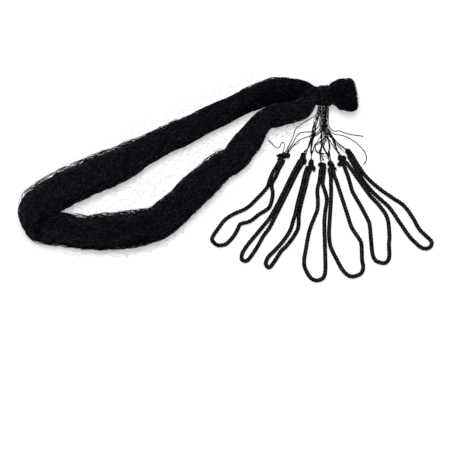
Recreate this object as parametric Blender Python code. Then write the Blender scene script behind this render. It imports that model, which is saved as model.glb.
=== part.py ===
"""Bird netting gathered into a hank, with a tied neck and seven braided pole loops.

The net is drawn together into one thick soft bundle, doubled back on itself at the
left and tied near its ends at the right, where the ends flare into a short tuft.
Shelf strings run from the tie to seven knotted loops of braided cord, which lie
fanned out on the surface.  Tables are in millimetres, +Z up, on a surface at Z = 0.
"""
import math

import bmesh
import bpy
from mathutils import Vector

MM = 0.001

# Driving dimensions, in millimetres
PLAN_ORIGIN = (3.1, -1.0)      # plan point of the tables that lies on the part's origin
CORD = 4.0                    # braided pole cord, diameter
THREAD = 0.7                  # shelf string and loose thread, diameter
GAP = 0.3                     # air between neighbouring pieces

RING_SIDES = 24               # points round the bundle
SPAN_STEPS = 2                # stations to each row of a bundle table
FOLDS = 6                     # gathered folds round the bundle
FOLD_DEPTH = 0.085            # depth of a fold, as a share of the half width
FOLD_TURN = 0.013             # turn of the folds, radians to a millimetre of run
SETTLE = 0.16                 # share of the half height that lies flat on the surface

WRAP_TURNS = 2.3              # turns of the tie round the neck
WRAP_PITCH = 5.0              # advance of the tie to a turn
WRAP_WIDTH = 4.8              # breadth of the tie's strand
WRAP_THICK = 2.8              # thickness of the tie's strand
WRAP_START = (147.2, 80.6, 12.0)   # plan x, plan y and height of the tie's first turn
NECK_WIDTH = 18.5
NECK_HEIGHT = 16.0
NECK_BASE = 4.0

CORD_STEP = 8.0               # tube points along a pole loop
THREAD_STEP = 3.6             # tube points along a thread

# Bundle rows: plan x, plan y, width, height, base above the surface, flat underside (1) or round (0)
UPPER_LIMB = [
    (148, 82.5, 6, 8, 8, 0),
    (141, 85, 10, 13, 5, 0),
    (135, 88, 16, 18, 1.5, 0.5),
    (127, 88.5, 24, 21, 0, 1),
    (116, 87.5, 28, 23, 0, 1),
    (97, 85.5, 31.5, 24, 0, 1),
    (80, 81.5, 29, 22, 0, 1),
    (63, 74.5, 25.5, 20, 0, 1),
    (48, 66, 26.5, 20, 0, 1),
    (30.5, 57, 28, 20, 0, 1),
    (11.5, 46.5, 29, 20, 0, 1),
    (-9, 35, 29.5, 20, 0, 1),
    (-31, 23.5, 29.5, 20, 0, 1),
    (-54.5, 9.5, 32, 21, 0, 1),
    (-73.5, -2, 39, 24, 0, 1),
    (-97, -13, 41, 27, 0, 1),
    (-116.5, -22.5, 40, 28, 0, 1),
    (-133, -31, 40.5, 28, 0, 1),
    (-149, -41.5, 40.5, 28, 0, 1),
    (-161.5, -52.5, 39.5, 28, 0, 1),
    (-169.5, -63.5, 33, 27, 0, 1),
    (-172, -75, 21.5, 24, 1, 1),
    (-173, -82, 11.5, 15, 4, 1),
]
LOWER_LIMB = [
    (-177, -78, 14.5, 12, 3, 1),
    (-171, -78, 24, 18, 1, 1),
    (-157, -80, 34, 23, 0, 1),
    (-140, -80.5, 36.5, 25, 0, 1),
    (-126, -84, 33, 25, 0, 1),
    (-111, -86, 34, 24, 0, 1),
    (-95, -85, 37, 26, 0, 1),
    (-73, -83.5, 39.5, 27, 0, 1),
    (-52, -81, 38.5, 27, 0, 1),
    (-30.5, -72.5, 36.5, 26, 0, 1),
    (-11, -54.5, 35, 26, 0, 1),
    (5, -37.5, 35.5, 25, 0, 1),
    (21, -20.5, 34.5, 24, 0, 1),
    (35, -6.5, 31, 23, 0, 1),
    (50, 2, 30, 22, 0, 1),
    (59, 15, 31, 22, 0, 1),
    (68.5, 27.5, 29.5, 22, 0, 1),
    (76.5, 41.5, 25.5, 21, 0, 1),
    (86.5, 52.5, 23.5, 21, 0, 1),
    (100, 57.5, 26.5, 21, 0, 1),
    (116, 61.5, 24, 20, 0, 1),
    (130.5, 67, 22, 19, 0.5, 1),
    (139, 74, 12, 16, 4, 0.5),
    (148, 79, 6, 8, 8, 0),
]
NECK_AND_TUFT = [
    (122, 79.5, 8, 10, 5, 0),
    (132, 80, 15, 15, 4, 0),
    (142, 80.6, NECK_WIDTH, NECK_HEIGHT, NECK_BASE, 0),
    (152, 80.6, NECK_WIDTH, NECK_HEIGHT, NECK_BASE, 0),
    (160.8, 80.8, NECK_WIDTH, NECK_HEIGHT, NECK_BASE, 0),
    (163.2, 81.6, 25, 20, 2, 0.4),
    (167.2, 82.5, 30.5, 23.5, 0.5, 0.8),
    (172.2, 82.5, 35, 27, 0, 1),
    (178, 81.7, 37, 29, 0, 1),
    (183.2, 81.4, 37, 29, 0, 1),
    (186.6, 81.7, 35, 27.5, 0.3, 1),
    (188.6, 82, 30, 23.5, 1.8, 1),
]

# Pole loops: plan points of the cord from one leg, round the loop, to the other leg
POLE_LOOPS = [
    [(101.5, 3.6), (94.8, -8), (91, -17), (87, -29), (76, -42), (65, -53), (51, -60), (41, -67),
     (33, -78), (27, -88), (28, -93), (33, -97), (38, -97), (43, -95), (50, -87), (55, -78), (58, -72),
     (68, -69), (78, -61), (84, -57), (89.6, -52.4), (92.4, -45), (93.9, -35), (93, -25), (97, -17),
     (101, -8), (105.7, 2.5)],
    [(123.2, 2.2), (117, -9), (111.3, -21.2), (106.7, -31.5), (100.5, -44.1), (93.8, -57.1),
     (87.7, -68.1), (78.5, -80.1), (67.4, -94.2), (62.7, -101.1), (59.5, -107.3), (59.1, -113),
     (62, -115.4), (66.4, -113.7), (75.1, -100.8), (82.8, -86.6), (90, -76), (98, -61), (103.2, -49.8),
     (110, -35), (115.9, -22.4), (121.4, -11), (127.2, 0.1)],
    [(131.7, -5.7), (128.7, -16), (126.2, -27.1), (123.6, -37.1), (120.4, -49.1), (117, -63), (113, -78),
     (104.8, -91.7), (93.7, -104.7), (88.4, -110.3), (85.6, -116.2), (85.4, -119.8), (89, -123),
     (94, -117), (101.8, -104.7), (108, -98), (116, -87), (121, -77), (122.5, -64), (125, -49),
     (128.1, -36.9), (131.4, -24.9), (133.6, -14), (135.8, -8.2)],
    [(147.3, -8.5), (145.6, -19.1), (143.4, -31), (143.6, -43), (143.1, -53.7), (139, -65),
     (135.7, -73.3), (132.5, -84.1), (128.7, -104.1), (127, -114), (127.4, -122.2), (131, -131),
     (135, -136), (140, -138), (146, -136), (149, -131), (150, -121), (150, -91), (150, -73),
     (151, -60), (153, -48), (153.4, -40), (151, -30), (150, -23), (151.6, -8.9)],
    [(157.4, -8.4), (158.5, -19.1), (158.6, -34), (157.6, -50), (155.1, -79), (155.2, -91.1),
     (156.8, -100.5), (164, -117), (168, -125), (173, -131), (178.1, -133.4), (183.7, -132.4),
     (189, -129), (191, -122), (190, -114), (190, -97), (188, -90), (180, -76), (175, -58), (169, -36),
     (164.5, -19), (162.2, -8.8)],
    [(173.3, -1.4), (177.7, -14.2), (180.3, -25.3), (183, -35), (191, -51), (197.9, -66.7),
     (199.9, -74.1), (201, -98), (202, -109), (205, -115), (209, -117), (214, -118), (218, -115),
     (220, -109), (220, -97), (221, -85), (219.6, -65.2), (212, -51), (201.4, -39), (192, -24.5),
     (184, -11.5), (177.3, 0.6)],
    [(180.2, 7.6), (185.5, -2), (190.5, -11), (196, -20.5), (206.5, -35), (218.7, -48.3),
     (224.4, -55.5), (234, -72), (243, -87), (248.6, -93.4), (254, -99), (260, -101), (265, -99),
     (267, -94), (264.4, -89.6), (254.4, -78.5), (247.1, -63.6), (238.2, -50), (226.8, -41.2),
     (213.7, -31), (200.5, -18), (190.9, -2.4), (184.2, 9.9)],
]

# Knot lobes, stubs and legs, from the knot's own centre in plan:
#   lobes (dx, dy, radius), stubs (dx, dy, heading in degrees, length), collar (dx, dy, heading)
KNOTS = [
    dict(at=(106.5, 9.5), lobes=[(-3.4, -0.4, 3.3), (0.6, 0.6, 3.5), (4.4, 0.6, 3.2)],
         stubs=[(-4.6, 0.6, 165, 3.2)], collar=(-2.4, -2.6, -125)),
    dict(at=(128.4, 7.2), lobes=[(0.2, 3.6, 2.9), (-0.6, 0.2, 3.2), (1.4, -3.0, 2.7)],
         stubs=[(1.8, -4.0, -88, 3.2)], collar=(-2.2, -2.4, -118)),
    dict(at=(137.0, -0.4), lobes=[(0.3, 3.2, 2.7), (0.0, -0.6, 3.1)],
         stubs=[(1.8, -2.2, -48, 4.4), (2.2, -2.8, -78, 6.0)], collar=(-1.0, -3.2, -113)),
    dict(at=(149.6, -2.0), lobes=[(-2.0, 0.6, 2.9), (1.7, 0.4, 2.8)],
         stubs=[(2.4, -2.0, -34, 2.4)], collar=(-0.3, -3.4, -92)),
    dict(at=(158.8, -0.6), lobes=[(-0.6, 1.0, 3.1), (1.4, -1.4, 3.0)],
         stubs=[(3.2, -3.2, -44, 4.4)], collar=(0.6, -3.4, -84)),
    dict(at=(171.6, 5.2), lobes=[(-1.6, 2.2, 3.2), (1.2, -0.4, 3.2)],
         stubs=[(-1.8, -2.6, -126, 5.4)], collar=(1.8, -2.6, -64)),
    dict(at=(179.2, 14.2), lobes=[(-0.9, 1.0, 3.3), (1.5, -1.5, 3.0)],
         stubs=[], collar=(1.2, -2.6, -58)),
]
COLLAR_RADII = (3.0, 4.3, 2.5)   # along the legs, across them and upward
STUB_RADIUS = 1.6
STUB_HEIGHT = 2.15

# Threads from the tie: plan x, plan y and centre height
THREADS = {
    "shelf_string_1a": [(146.4, 68.6, 9.2), (145.8, 65.0, 4.2), (143.6, 61.6, 1.0), (138.2, 57.6, 0.4),
                        (131.8, 53.4, 0.4), (125.0, 48.6, 0.4), (120.3, 43.2, 0.4), (118.2, 36.0, 0.4),
                        (114.6, 27.6, 0.6), (110.2, 18.0, 2.6), (108.5, 13.8, 3.9)],
    "shelf_string_1b": [(149.7, 68.4, 9.1), (149.5, 65.0, 4.2), (148.9, 61.0, 1.4), (148.0, 54.0, 0.5),
                        (146.6, 47.6, 1.4), (143.2, 42.6, 1.9), (138.4, 40.6, 1.7), (131.8, 40.6, 0.5),
                        (125.9, 39.3, 0.4), (121.2, 34.7, 0.4), (117.6, 27.4, 0.5), (112.2, 18.0, 2.4),
                        (110.2, 13.8, 3.8)],
    "shelf_string_1c": [(150.8, 68.8, 9.7), (150.6, 65.0, 4.2), (150.1, 61.0, 1.4), (149.2, 54.0, 0.4),
                        (148.0, 45.2, 0.6), (144.4, 39.2, 1.8), (137.4, 35.4, 1.8), (130.7, 33.6, 0.5),
                        (124.9, 30.5, 0.4), (119.6, 26.0, 0.5), (114.0, 18.0, 2.2), (111.9, 13.7, 3.6)],
    "shelf_string_2": [(147.5, 68.2, 8.8), (147.1, 65.0, 4.2), (145.8, 61.0, 1.2), (143.8, 56.0, 0.4),
                       (141.4, 49.0, 0.4), (139.0, 36.5, 0.4), (136.6, 29.0, 0.4), (133.4, 19.5, 0.8),
                       (129.6, 14.1, 3.1)],
    "shelf_string_3": [(148.6, 68.2, 8.8), (148.3, 65.0, 4.2), (147.2, 61.0, 1.2), (145.6, 55.0, 0.4),
                       (143.6, 48.6, 0.4), (140.8, 36.8, 0.4), (138.2, 25.6, 0.4), (137.8, 12.0, 0.9),
                       (137.4, 5.9, 2.7)],
    "shelf_string_4": [(151.9, 68.4, 9.1), (151.7, 65.0, 4.2), (151.3, 61.0, 1.2), (150.6, 54.0, 0.4),
                       (149.8, 42.0, 0.4), (150.0, 30.0, 0.4), (148.7, 22.0, 0.4), (147.6, 12.8, 0.4),
                       (147.9, 6.6, 0.8), (148.3, 1.9, 2.7)],
    "shelf_string_5a": [(153.0, 68.2, 8.8), (152.8, 65.0, 4.2), (152.4, 61.0, 1.2), (151.8, 54.0, 0.4),
                        (151.3, 44.0, 0.4), (153.8, 31.0, 0.4), (152.0, 22.0, 0.4), (155.2, 12.8, 0.4),
                        (157.7, 3.7, 2.7)],
    "shelf_string_5b": [(154.1, 68.2, 8.8), (153.9, 65.0, 4.2), (153.5, 61.0, 1.2), (153.0, 54.0, 0.4),
                        (152.8, 44.3, 0.4), (156.2, 34.0, 0.4), (158.4, 23.7, 0.4), (158.0, 14.7, 0.4),
                        (159.2, 3.7, 2.7)],
    "shelf_string_6": [(155.2, 68.6, 9.4), (155.0, 65.0, 4.2), (154.6, 61.0, 1.2), (154.2, 54.0, 0.4),
                       (154.2, 45.3, 0.4), (158.2, 37.4, 0.4), (163.6, 27.4, 0.4), (167.8, 15.0, 1.4),
                       (169.1, 10.8, 2.9)],
    "shelf_string_7": [(156.3, 68.9, 9.9), (156.1, 65.0, 4.2), (155.7, 61.0, 1.2), (155.4, 54.0, 0.4),
                       (155.6, 46.3, 0.4), (161.2, 36.0, 0.4), (168.2, 26.4, 0.4), (174.4, 19.8, 2.2),
                       (176.1, 18.3, 3.1)],
    "loose_thread_1": [(105.3, 13.8, 3.3), (106.4, 17.2, 1.4), (107.6, 22.6, 0.5), (107.2, 27.4, 0.4),
                       (104.4, 26.6, 0.4), (101.6, 21.0, 0.4), (97.5, 21.6, 0.4), (94.3, 25.6, 0.4),
                       (89.4, 30.5, 0.4)],
    "loose_thread_2": [(157.4, 68.4, 9.1), (157.2, 65.0, 4.2), (156.9, 61.0, 1.2), (156.7, 54.0, 0.4),
                       (157.0, 47.3, 0.4), (163.4, 38.6, 0.4), (173.0, 36.2, 0.4), (181.2, 32.6, 0.4),
                       (188.3, 27.4, 0.4), (194.7, 20.1, 0.4), (198.6, 13.8, 0.4), (199.4, 8.4, 0.4),
                       (198.4, 3.4, 0.4), (195.6, 0.4, 0.4)],
    "loose_thread_3": [(158.5, 68.4, 9.1), (158.4, 65.0, 4.2), (158.2, 61.0, 1.2), (158.1, 54.0, 0.4),
                       (158.8, 47.8, 0.4), (163.6, 41.8, 0.4), (169.8, 41.9, 0.4), (175.5, 39.6, 0.4),
                       (183.8, 37.2, 0.4), (196.9, 35.2, 0.4)],
    "loose_thread_4": [(148.8, 35.4, 0.4), (146.6, 31.0, 0.4), (143.8, 26.4, 0.4), (142.4, 21.0, 0.4),
                       (143.6, 16.2, 0.6), (147.6, 13.4, 1.7), (152.0, 13.2, 0.6)],
}


def clear_scene():
    for thing in list(bpy.data.objects):
        bpy.data.objects.remove(thing, do_unlink=True)


def make_material(name, colour, roughness):
    material = bpy.data.materials.new(name)
    material.use_nodes = True
    shader = material.node_tree.nodes["Principled BSDF"]
    shader.inputs["Base Color"].default_value = (*colour, 1.0)
    shader.inputs["Roughness"].default_value = roughness
    shader.inputs["Metallic"].default_value = 0.0
    return material


def in_metres(x, y, z):
    """Plan point and height in millimetres, as a point of the part in metres."""
    return Vector((x - PLAN_ORIGIN[0], y - PLAN_ORIGIN[1], z)) * MM


def curve_value(before, start, end, after, share):
    """One number of a Catmull-Rom curve between start and end."""
    return 0.5 * (2 * start + (end - before) * share
                  + (2 * before - 5 * start + 4 * end - after) * share ** 2
                  + (3 * start - before - 3 * end + after) * share ** 3)


def smooth_rows(rows, steps):
    """Rows with steps - 1 more between each two, on a smooth curve through them all."""
    result = []
    for index in range(len(rows) - 1):
        before = rows[max(index - 1, 0)]
        after = rows[min(index + 2, len(rows) - 1)]
        for step in range(steps):
            share = step / steps
            result.append([curve_value(*four, share)
                           for four in zip(before, rows[index], rows[index + 1], after)])
    result.append(list(rows[-1]))
    return result


def even_points(points, spacing):
    """Points at about the given spacing along a smooth curve through the route's points."""
    fine = [Vector(row) for row in smooth_rows(points, 12)]
    lengths = [0.0]
    for first, second in zip(fine, fine[1:]):
        lengths.append(lengths[-1] + (second - first).length)
    count = max(4, round(lengths[-1] / spacing))
    result = []
    span = 0
    for index in range(count + 1):
        wanted = lengths[-1] * index / count
        while span < len(fine) - 2 and lengths[span + 1] < wanted:
            span += 1
        share = (wanted - lengths[span]) / (lengths[span + 1] - lengths[span])
        result.append(fine[span].lerp(fine[span + 1], share))
    return result


def mesh_object(name, mesh_data, material):
    """A smooth-shaded object from a bmesh, with its faces pointing out."""
    bmesh.ops.recalc_face_normals(mesh_data, faces=mesh_data.faces)
    mesh = bpy.data.meshes.new(name)
    mesh_data.to_mesh(mesh)
    mesh_data.free()
    mesh.materials.append(material)
    mesh.shade_smooth()
    thing = bpy.data.objects.new(name, mesh)
    bpy.context.collection.objects.link(thing)
    return thing


def bundle_ring(row, heading, run, fold_depth):
    """Section points of the bundle, square to its run, with its gathered folds."""
    x, y, width, height, base, flat = row
    base = max(base, 0.0)
    side = Vector((-heading.y, heading.x))
    middle = base + height * (0.5 - 0.5 * SETTLE * flat)
    upper = base + height - middle
    lower = middle - base + height * SETTLE * 0.6 * flat
    points = []
    for step in range(RING_SIDES):
        angle = math.tau * step / RING_SIDES
        fold = 1.0 - fold_depth * (0.5 + 0.5 * math.cos(FOLDS * angle + FOLD_TURN * run))
        across = 0.5 * width * math.cos(angle) * fold
        rise = (upper if math.sin(angle) > 0 else lower) * math.sin(angle) * fold
        z = max(middle + rise, base)
        points.append(in_metres(x + side.x * across, y + side.y * across, z))
    return points


def bundle_loft(name, rows, fold_depth, material):
    """A closed bundle of gathered net through the rows of a table."""
    stations = smooth_rows(rows, SPAN_STEPS)
    shape = bmesh.new()
    rings = []
    run = 0.0
    for index, row in enumerate(stations):
        before = stations[max(index - 1, 0)]
        after = stations[min(index + 1, len(stations) - 1)]
        heading = Vector((after[0] - before[0], after[1] - before[1])).normalized()
        run += math.hypot(row[0] - before[0], row[1] - before[1])
        ring = bundle_ring(row, heading, run, fold_depth)
        rings.append([shape.verts.new(point) for point in ring])
    for first, second in zip(rings, rings[1:]):
        for side in range(RING_SIDES):
            after_side = (side + 1) % RING_SIDES
            shape.faces.new((first[side], first[after_side], second[after_side], second[side]))
    shape.faces.new(rings[0])
    shape.faces.new(rings[-1])
    return mesh_object(name, shape, material)


def as_guide(thing):
    thing.hide_render = True
    thing.display_type = "WIRE"


def unite(target, guide):
    """Unite a guide with the target, which keeps one closed body."""
    union = target.modifiers.new("union_" + guide.name, "BOOLEAN")
    union.operation = "UNION"
    union.solver = "EXACT"
    union.object = guide
    as_guide(guide)


def make_hank(material):
    hank = bundle_loft("net_hank", UPPER_LIMB, FOLD_DEPTH, material)
    unite(hank, bundle_loft("lower_limb_guide", LOWER_LIMB, FOLD_DEPTH, material))
    unite(hank, bundle_loft("neck_guide", NECK_AND_TUFT, 0.0, material))
    return hank


def make_neck_wrap(material):
    """The tie: a flat strand of shelf strings wound round the neck, ends tucked below."""
    steps_per_turn = 20
    section_sides = 10
    start_x, centre_y, centre_z = WRAP_START
    radius_y = 0.5 * NECK_WIDTH + GAP + 0.5 * WRAP_THICK
    radius_z = 0.5 * NECK_HEIGHT + GAP + 0.5 * WRAP_THICK
    shape = bmesh.new()
    rings = []
    steps = round(WRAP_TURNS * steps_per_turn)
    for step in range(steps + 1):
        turn = step / steps_per_turn
        angle = -0.5 * math.pi - math.tau * turn
        out = Vector((0.0, math.cos(angle) * radius_y, math.sin(angle) * radius_z))
        normal = Vector((0.0, math.cos(angle) / radius_y, math.sin(angle) / radius_z)).normalized()
        centre = Vector((start_x + WRAP_PITCH * turn, centre_y, centre_z)) + out
        ends = min(1.0, 0.45 + 0.55 * min(step, steps - step) / 3)
        ring = []
        for side in range(section_sides):
            around = math.tau * side / section_sides
            point = centre + Vector((0.5 * WRAP_WIDTH * ends * math.cos(around), 0.0, 0.0))
            point += normal * 0.5 * WRAP_THICK * ends * math.sin(around)
            ring.append(shape.verts.new(in_metres(*point)))
        rings.append(ring)
    for first, second in zip(rings, rings[1:]):
        for side in range(section_sides):
            after_side = (side + 1) % section_sides
            shape.faces.new((first[side], first[after_side], second[after_side], second[side]))
    shape.faces.new(rings[0])
    shape.faces.new(rings[-1])
    return mesh_object("neck_wrap", shape, material)


def make_tube(name, points, diameter, spacing, material):
    """A round cord through the route's points, with filled ends."""
    curve = bpy.data.curves.new(name, "CURVE")
    curve.dimensions = "3D"
    curve.bevel_depth = 0.5 * diameter * MM
    curve.bevel_resolution = 2
    curve.use_fill_caps = True
    path = even_points(points, spacing)
    for point in path:
        point.z = max(point.z, 0.5 * diameter)
    spline = curve.splines.new("POLY")
    spline.points.add(len(path) - 1)
    for spline_point, point in zip(spline.points, path):
        spline_point.co = (*in_metres(*point), 1.0)
    spline.use_smooth = True
    curve.materials.append(material)
    tube = bpy.data.objects.new(name, curve)
    bpy.context.collection.objects.link(tube)
    return tube


def lobe(name, centre, radii, heading, material):
    """A rounded lobe of a knot, its first radius along the heading in degrees."""
    shape = bmesh.new()
    bmesh.ops.create_icosphere(shape, subdivisions=2, radius=1.0)
    turn = math.radians(heading)
    for vert in shape.verts:
        x, y, z = vert.co.x * radii[0], vert.co.y * radii[1], vert.co.z * radii[2]
        vert.co = in_metres(centre[0] + x * math.cos(turn) - y * math.sin(turn),
                            centre[1] + x * math.sin(turn) + y * math.cos(turn),
                            centre[2] + z)
    return mesh_object(name, shape, material)


def stub(name, start, heading, length, material):
    """A cut end of cord that points out of a knot along the surface."""
    shape = bmesh.new()
    bmesh.ops.create_cone(shape, cap_ends=True, segments=8, radius1=STUB_RADIUS,
                          radius2=STUB_RADIUS, depth=length)
    turn = math.radians(heading)
    for vert in shape.verts:
        along = vert.co.z + 0.5 * length
        vert.co = in_metres(start[0] + along * math.cos(turn) - vert.co.x * math.sin(turn),
                            start[1] + along * math.sin(turn) + vert.co.x * math.cos(turn),
                            STUB_HEIGHT + vert.co.y)
    return mesh_object(name, shape, material)


def make_knot(number, row, material):
    """A tight overhand knot with its cut stubs, resting on the surface."""
    name = "loop_knot_%d" % number
    at_x, at_y = row["at"]
    pieces = []
    for index, (dx, dy, radius) in enumerate(row["lobes"]):
        piece_name = name if index == 0 else "%s_lobe_%d" % (name, index)
        centre = (at_x + dx, at_y + dy, radius)
        pieces.append(lobe(piece_name, centre, (radius, radius, radius), 23.0 * index, material))
    dx, dy, heading = row["collar"]
    collar_centre = (at_x + dx, at_y + dy, COLLAR_RADII[2])
    pieces.append(lobe(name + "_collar", collar_centre, COLLAR_RADII, heading, material))
    for index, (dx, dy, heading, length) in enumerate(row["stubs"]):
        start = (at_x + dx, at_y + dy)
        pieces.append(stub("%s_stub_%d" % (name, index), start, heading, length, material))
    for piece in pieces[1:]:
        unite(pieces[0], piece)
    return pieces[0]


def main():
    clear_scene()
    net = make_material("black_net", (0.010, 0.010, 0.011), 0.85)
    cord = make_material("black_cord", (0.016, 0.016, 0.017), 0.80)
    thread = make_material("black_thread", (0.020, 0.020, 0.021), 0.75)
    make_hank(net)
    make_neck_wrap(thread)
    for number, route in enumerate(POLE_LOOPS, start=1):
        points = [(x, y, 0.5 * CORD) for x, y in route]
        make_tube("pole_loop_%d" % number, points, CORD, CORD_STEP, cord)
    for number, row in enumerate(KNOTS, start=1):
        make_knot(number, row, cord)
    for name, route in THREADS.items():
        make_tube(name, route, THREAD, THREAD_STEP, thread)


main()
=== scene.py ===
# %% [markdown]
# A bundle of black bird netting, seen from above on a pale floor.  The hard part of such
# an object is that nothing on it is solid: the hank is thousands of hair-thin threads,
# the loops are braided cord and the strings are loosely twisted thread.  The lesson builds
# each of them at its real size, over the plain solids that the frame brings.

import math

import bpy
import numpy as np
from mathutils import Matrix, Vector


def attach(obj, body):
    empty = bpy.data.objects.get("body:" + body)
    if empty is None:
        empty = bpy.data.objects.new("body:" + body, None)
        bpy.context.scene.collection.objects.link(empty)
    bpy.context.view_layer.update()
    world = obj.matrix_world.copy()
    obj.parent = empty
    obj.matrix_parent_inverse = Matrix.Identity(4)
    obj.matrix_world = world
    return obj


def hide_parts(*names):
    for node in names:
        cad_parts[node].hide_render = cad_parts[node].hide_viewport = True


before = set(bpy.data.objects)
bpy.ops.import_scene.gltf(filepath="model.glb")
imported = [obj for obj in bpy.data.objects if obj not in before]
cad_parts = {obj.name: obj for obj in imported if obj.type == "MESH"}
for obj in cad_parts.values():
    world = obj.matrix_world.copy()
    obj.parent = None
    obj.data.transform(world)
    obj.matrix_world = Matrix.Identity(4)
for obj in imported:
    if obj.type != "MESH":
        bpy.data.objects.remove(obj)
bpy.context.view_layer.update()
print("frame nodes:", len(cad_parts))

# %% [markdown]
# Lengths are written in millimetres in the plan of the part's own tables, because a maker
# measures string and mesh in millimetres.  One helper turns them into metres of the frame.

# %% Plan millimetres to frame metres
MM = 0.001
PLAN_ORIGIN = (3.1, -1.0)      # plan point of the tables that lies on the part's origin


def in_metres(x, y, z):
    """Plan point and height in millimetres, as a point of the frame in metres."""
    return ((x - PLAN_ORIGIN[0]) * MM, (y - PLAN_ORIGIN[1]) * MM, z * MM)


def metres_array(points):
    """An array of plan points in millimetres, as frame points in metres."""
    return (np.asarray(points, dtype=float) - np.array([*PLAN_ORIGIN, 0.0])) * MM


# %% [markdown]
# The camera comes first.  It looks down steeply with a long lens, so that the flat layout
# keeps its shape and the near and far ends stay at nearly the same scale.

# %% Camera
CAMERA_AIM = (40.9, -72.5, 0.0)   # plan point in the middle of the view
CAMERA_ELEVATION = 68.0         # degrees above the table
CAMERA_DISTANCE = 1600.0
VIEW_SPAN = 495.0               # how much of the table the view spans
SENSOR_WIDTH = 36.0


def make_camera():
    """A long lens that looks down on the table from the front."""
    data = bpy.data.cameras.new("long_lens")
    data.sensor_width = SENSOR_WIDTH
    data.lens = SENSOR_WIDTH * CAMERA_DISTANCE / VIEW_SPAN
    camera = bpy.data.objects.new("camera", data)
    bpy.context.collection.objects.link(camera)
    rise = math.radians(CAMERA_ELEVATION)
    aim = Vector(in_metres(*CAMERA_AIM))
    reach = CAMERA_DISTANCE * MM
    camera.location = aim + Vector((0.0, -reach * math.cos(rise), reach * math.sin(rise)))
    camera.rotation_euler = (math.radians(90.0 - CAMERA_ELEVATION), 0.0, 0.0)
    bpy.context.scene.camera = camera
    return camera


camera = make_camera()
print("camera lens:", round(camera.data.lens, 1), "mm")

# %% [markdown]
# Black thread has almost no colour of its own.  What the eye reads is a faint change of
# tone from thread to thread and along each one.  A node group makes that tone once, from
# noise in object space and from a number stored on each thread, which also carries the
# painted glints and painted shade, and every material uses it.

# %% Shared thread tone
TONE_INPUTS = (("Dark", "Color"), ("Light", "Color"), ("Patch Scale", "Float"), ("Fibre Scale", "Float"))
TONE_OUTPUTS = (("Colour", "Color"), ("Height", "Float"))
PATCH_STRENGTH = (0.25, 0.375)  # slope and start: broad patches change the tone a little
FIBRE_STRENGTH = (2.2, -0.6)    # and the fine fibres change it a lot
TONE_RANGE = (0.80, 1.70)       # the sum that gives the dark tone, and the light one


def make_thread_tone():
    """A colour between Dark and Light: noise in object space plus each thread's own tone."""
    group = bpy.data.node_groups.new("thread_tone", "ShaderNodeTree")
    for way, sockets in (("INPUT", TONE_INPUTS), ("OUTPUT", TONE_OUTPUTS)):
        for name, kind in sockets:
            group.interface.new_socket(name, in_out=way, socket_type="NodeSocket" + kind)
    nodes, link = group.nodes, group.links.new
    inputs = nodes.new("NodeGroupInput")
    outputs = nodes.new("NodeGroupOutput")
    place = nodes.new("ShaderNodeTexCoord")

    def noise(scale_name, detail, roughness):
        node = nodes.new("ShaderNodeTexNoise")
        node.inputs["Detail"].default_value = detail
        node.inputs["Roughness"].default_value = roughness
        link(place.outputs["Object"], node.inputs["Vector"])
        link(inputs.outputs[scale_name], node.inputs["Scale"])
        return node.outputs["Fac"]

    def scaled(value, slope, start):
        node = nodes.new("ShaderNodeMath")
        node.operation = "MULTIPLY_ADD"
        node.inputs[1].default_value = slope
        node.inputs[2].default_value = start
        link(value, node.inputs[0])
        return node.outputs[0]

    def added(first, second):
        node = nodes.new("ShaderNodeMath")
        node.operation = "ADD"
        link(first, node.inputs[0])
        link(second, node.inputs[1])
        return node.outputs[0]

    patch = noise("Patch Scale", 2.0, 0.5)
    fibre = noise("Fibre Scale", 4.0, 0.7)
    stored = nodes.new("ShaderNodeAttribute")
    stored.attribute_name = "tone"
    total = added(scaled(patch, *PATCH_STRENGTH), scaled(fibre, *FIBRE_STRENGTH))
    spread = nodes.new("ShaderNodeMapRange")
    spread.inputs["From Min"].default_value, spread.inputs["From Max"].default_value = TONE_RANGE
    link(added(total, stored.outputs["Fac"]), spread.inputs["Value"])
    blend = nodes.new("ShaderNodeMix")
    blend.data_type = "RGBA"
    link(spread.outputs["Result"], blend.inputs["Factor"])
    link(inputs.outputs["Dark"], blend.inputs["A"])
    link(inputs.outputs["Light"], blend.inputs["B"])
    link(blend.outputs["Result"], outputs.inputs["Colour"])
    link(fibre, outputs.inputs["Height"])
    return group


thread_tone = make_thread_tone()
print("shared group:", thread_tone.name)

# %% [markdown]
# The net, the cord and the strings are all black thread, and differ in how it takes light.
# Net thread is fine and hard laid, and stretches of single threads are painted lighter,
# as painted glints of a thin light line.  The body under it is painted darker still, as
# painted shade of the depth, so it stays nearly flat black.  Braid is softer and matt, with
# painted highlights on its crowns, and the strings are the plainest.  A faint bump from the
# same noise breaks up the gloss.  No cloth sheen is used: it would grey the black all over.

# %% Finishes of the net, the cord and the strings
FIBRE_RELIEF = 0.0004           # height of the fine fibres, in metres


def black_thread(name, dark, light, patch_scale, fibre_scale, roughness, gloss, bump):
    """A near-black thread finish: tone from the shared group, fine fibre bump."""
    material = bpy.data.materials.new(name)
    material.use_nodes = True
    nodes, link = material.node_tree.nodes, material.node_tree.links.new
    shader = nodes["Principled BSDF"]
    shader.inputs["Roughness"].default_value = roughness
    shader.inputs["Specular IOR Level"].default_value = gloss
    tone = nodes.new("ShaderNodeGroup")
    tone.node_tree = thread_tone
    tone.inputs["Dark"].default_value = (*dark, 1.0)
    tone.inputs["Light"].default_value = (*light, 1.0)
    tone.inputs["Patch Scale"].default_value = patch_scale
    tone.inputs["Fibre Scale"].default_value = fibre_scale
    relief = nodes.new("ShaderNodeBump")
    relief.inputs["Strength"].default_value = bump
    relief.inputs["Distance"].default_value = FIBRE_RELIEF
    link(tone.outputs["Colour"], shader.inputs["Base Color"])
    link(tone.outputs["Height"], relief.inputs["Height"])
    link(relief.outputs["Normal"], shader.inputs["Normal"])
    return material


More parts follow.
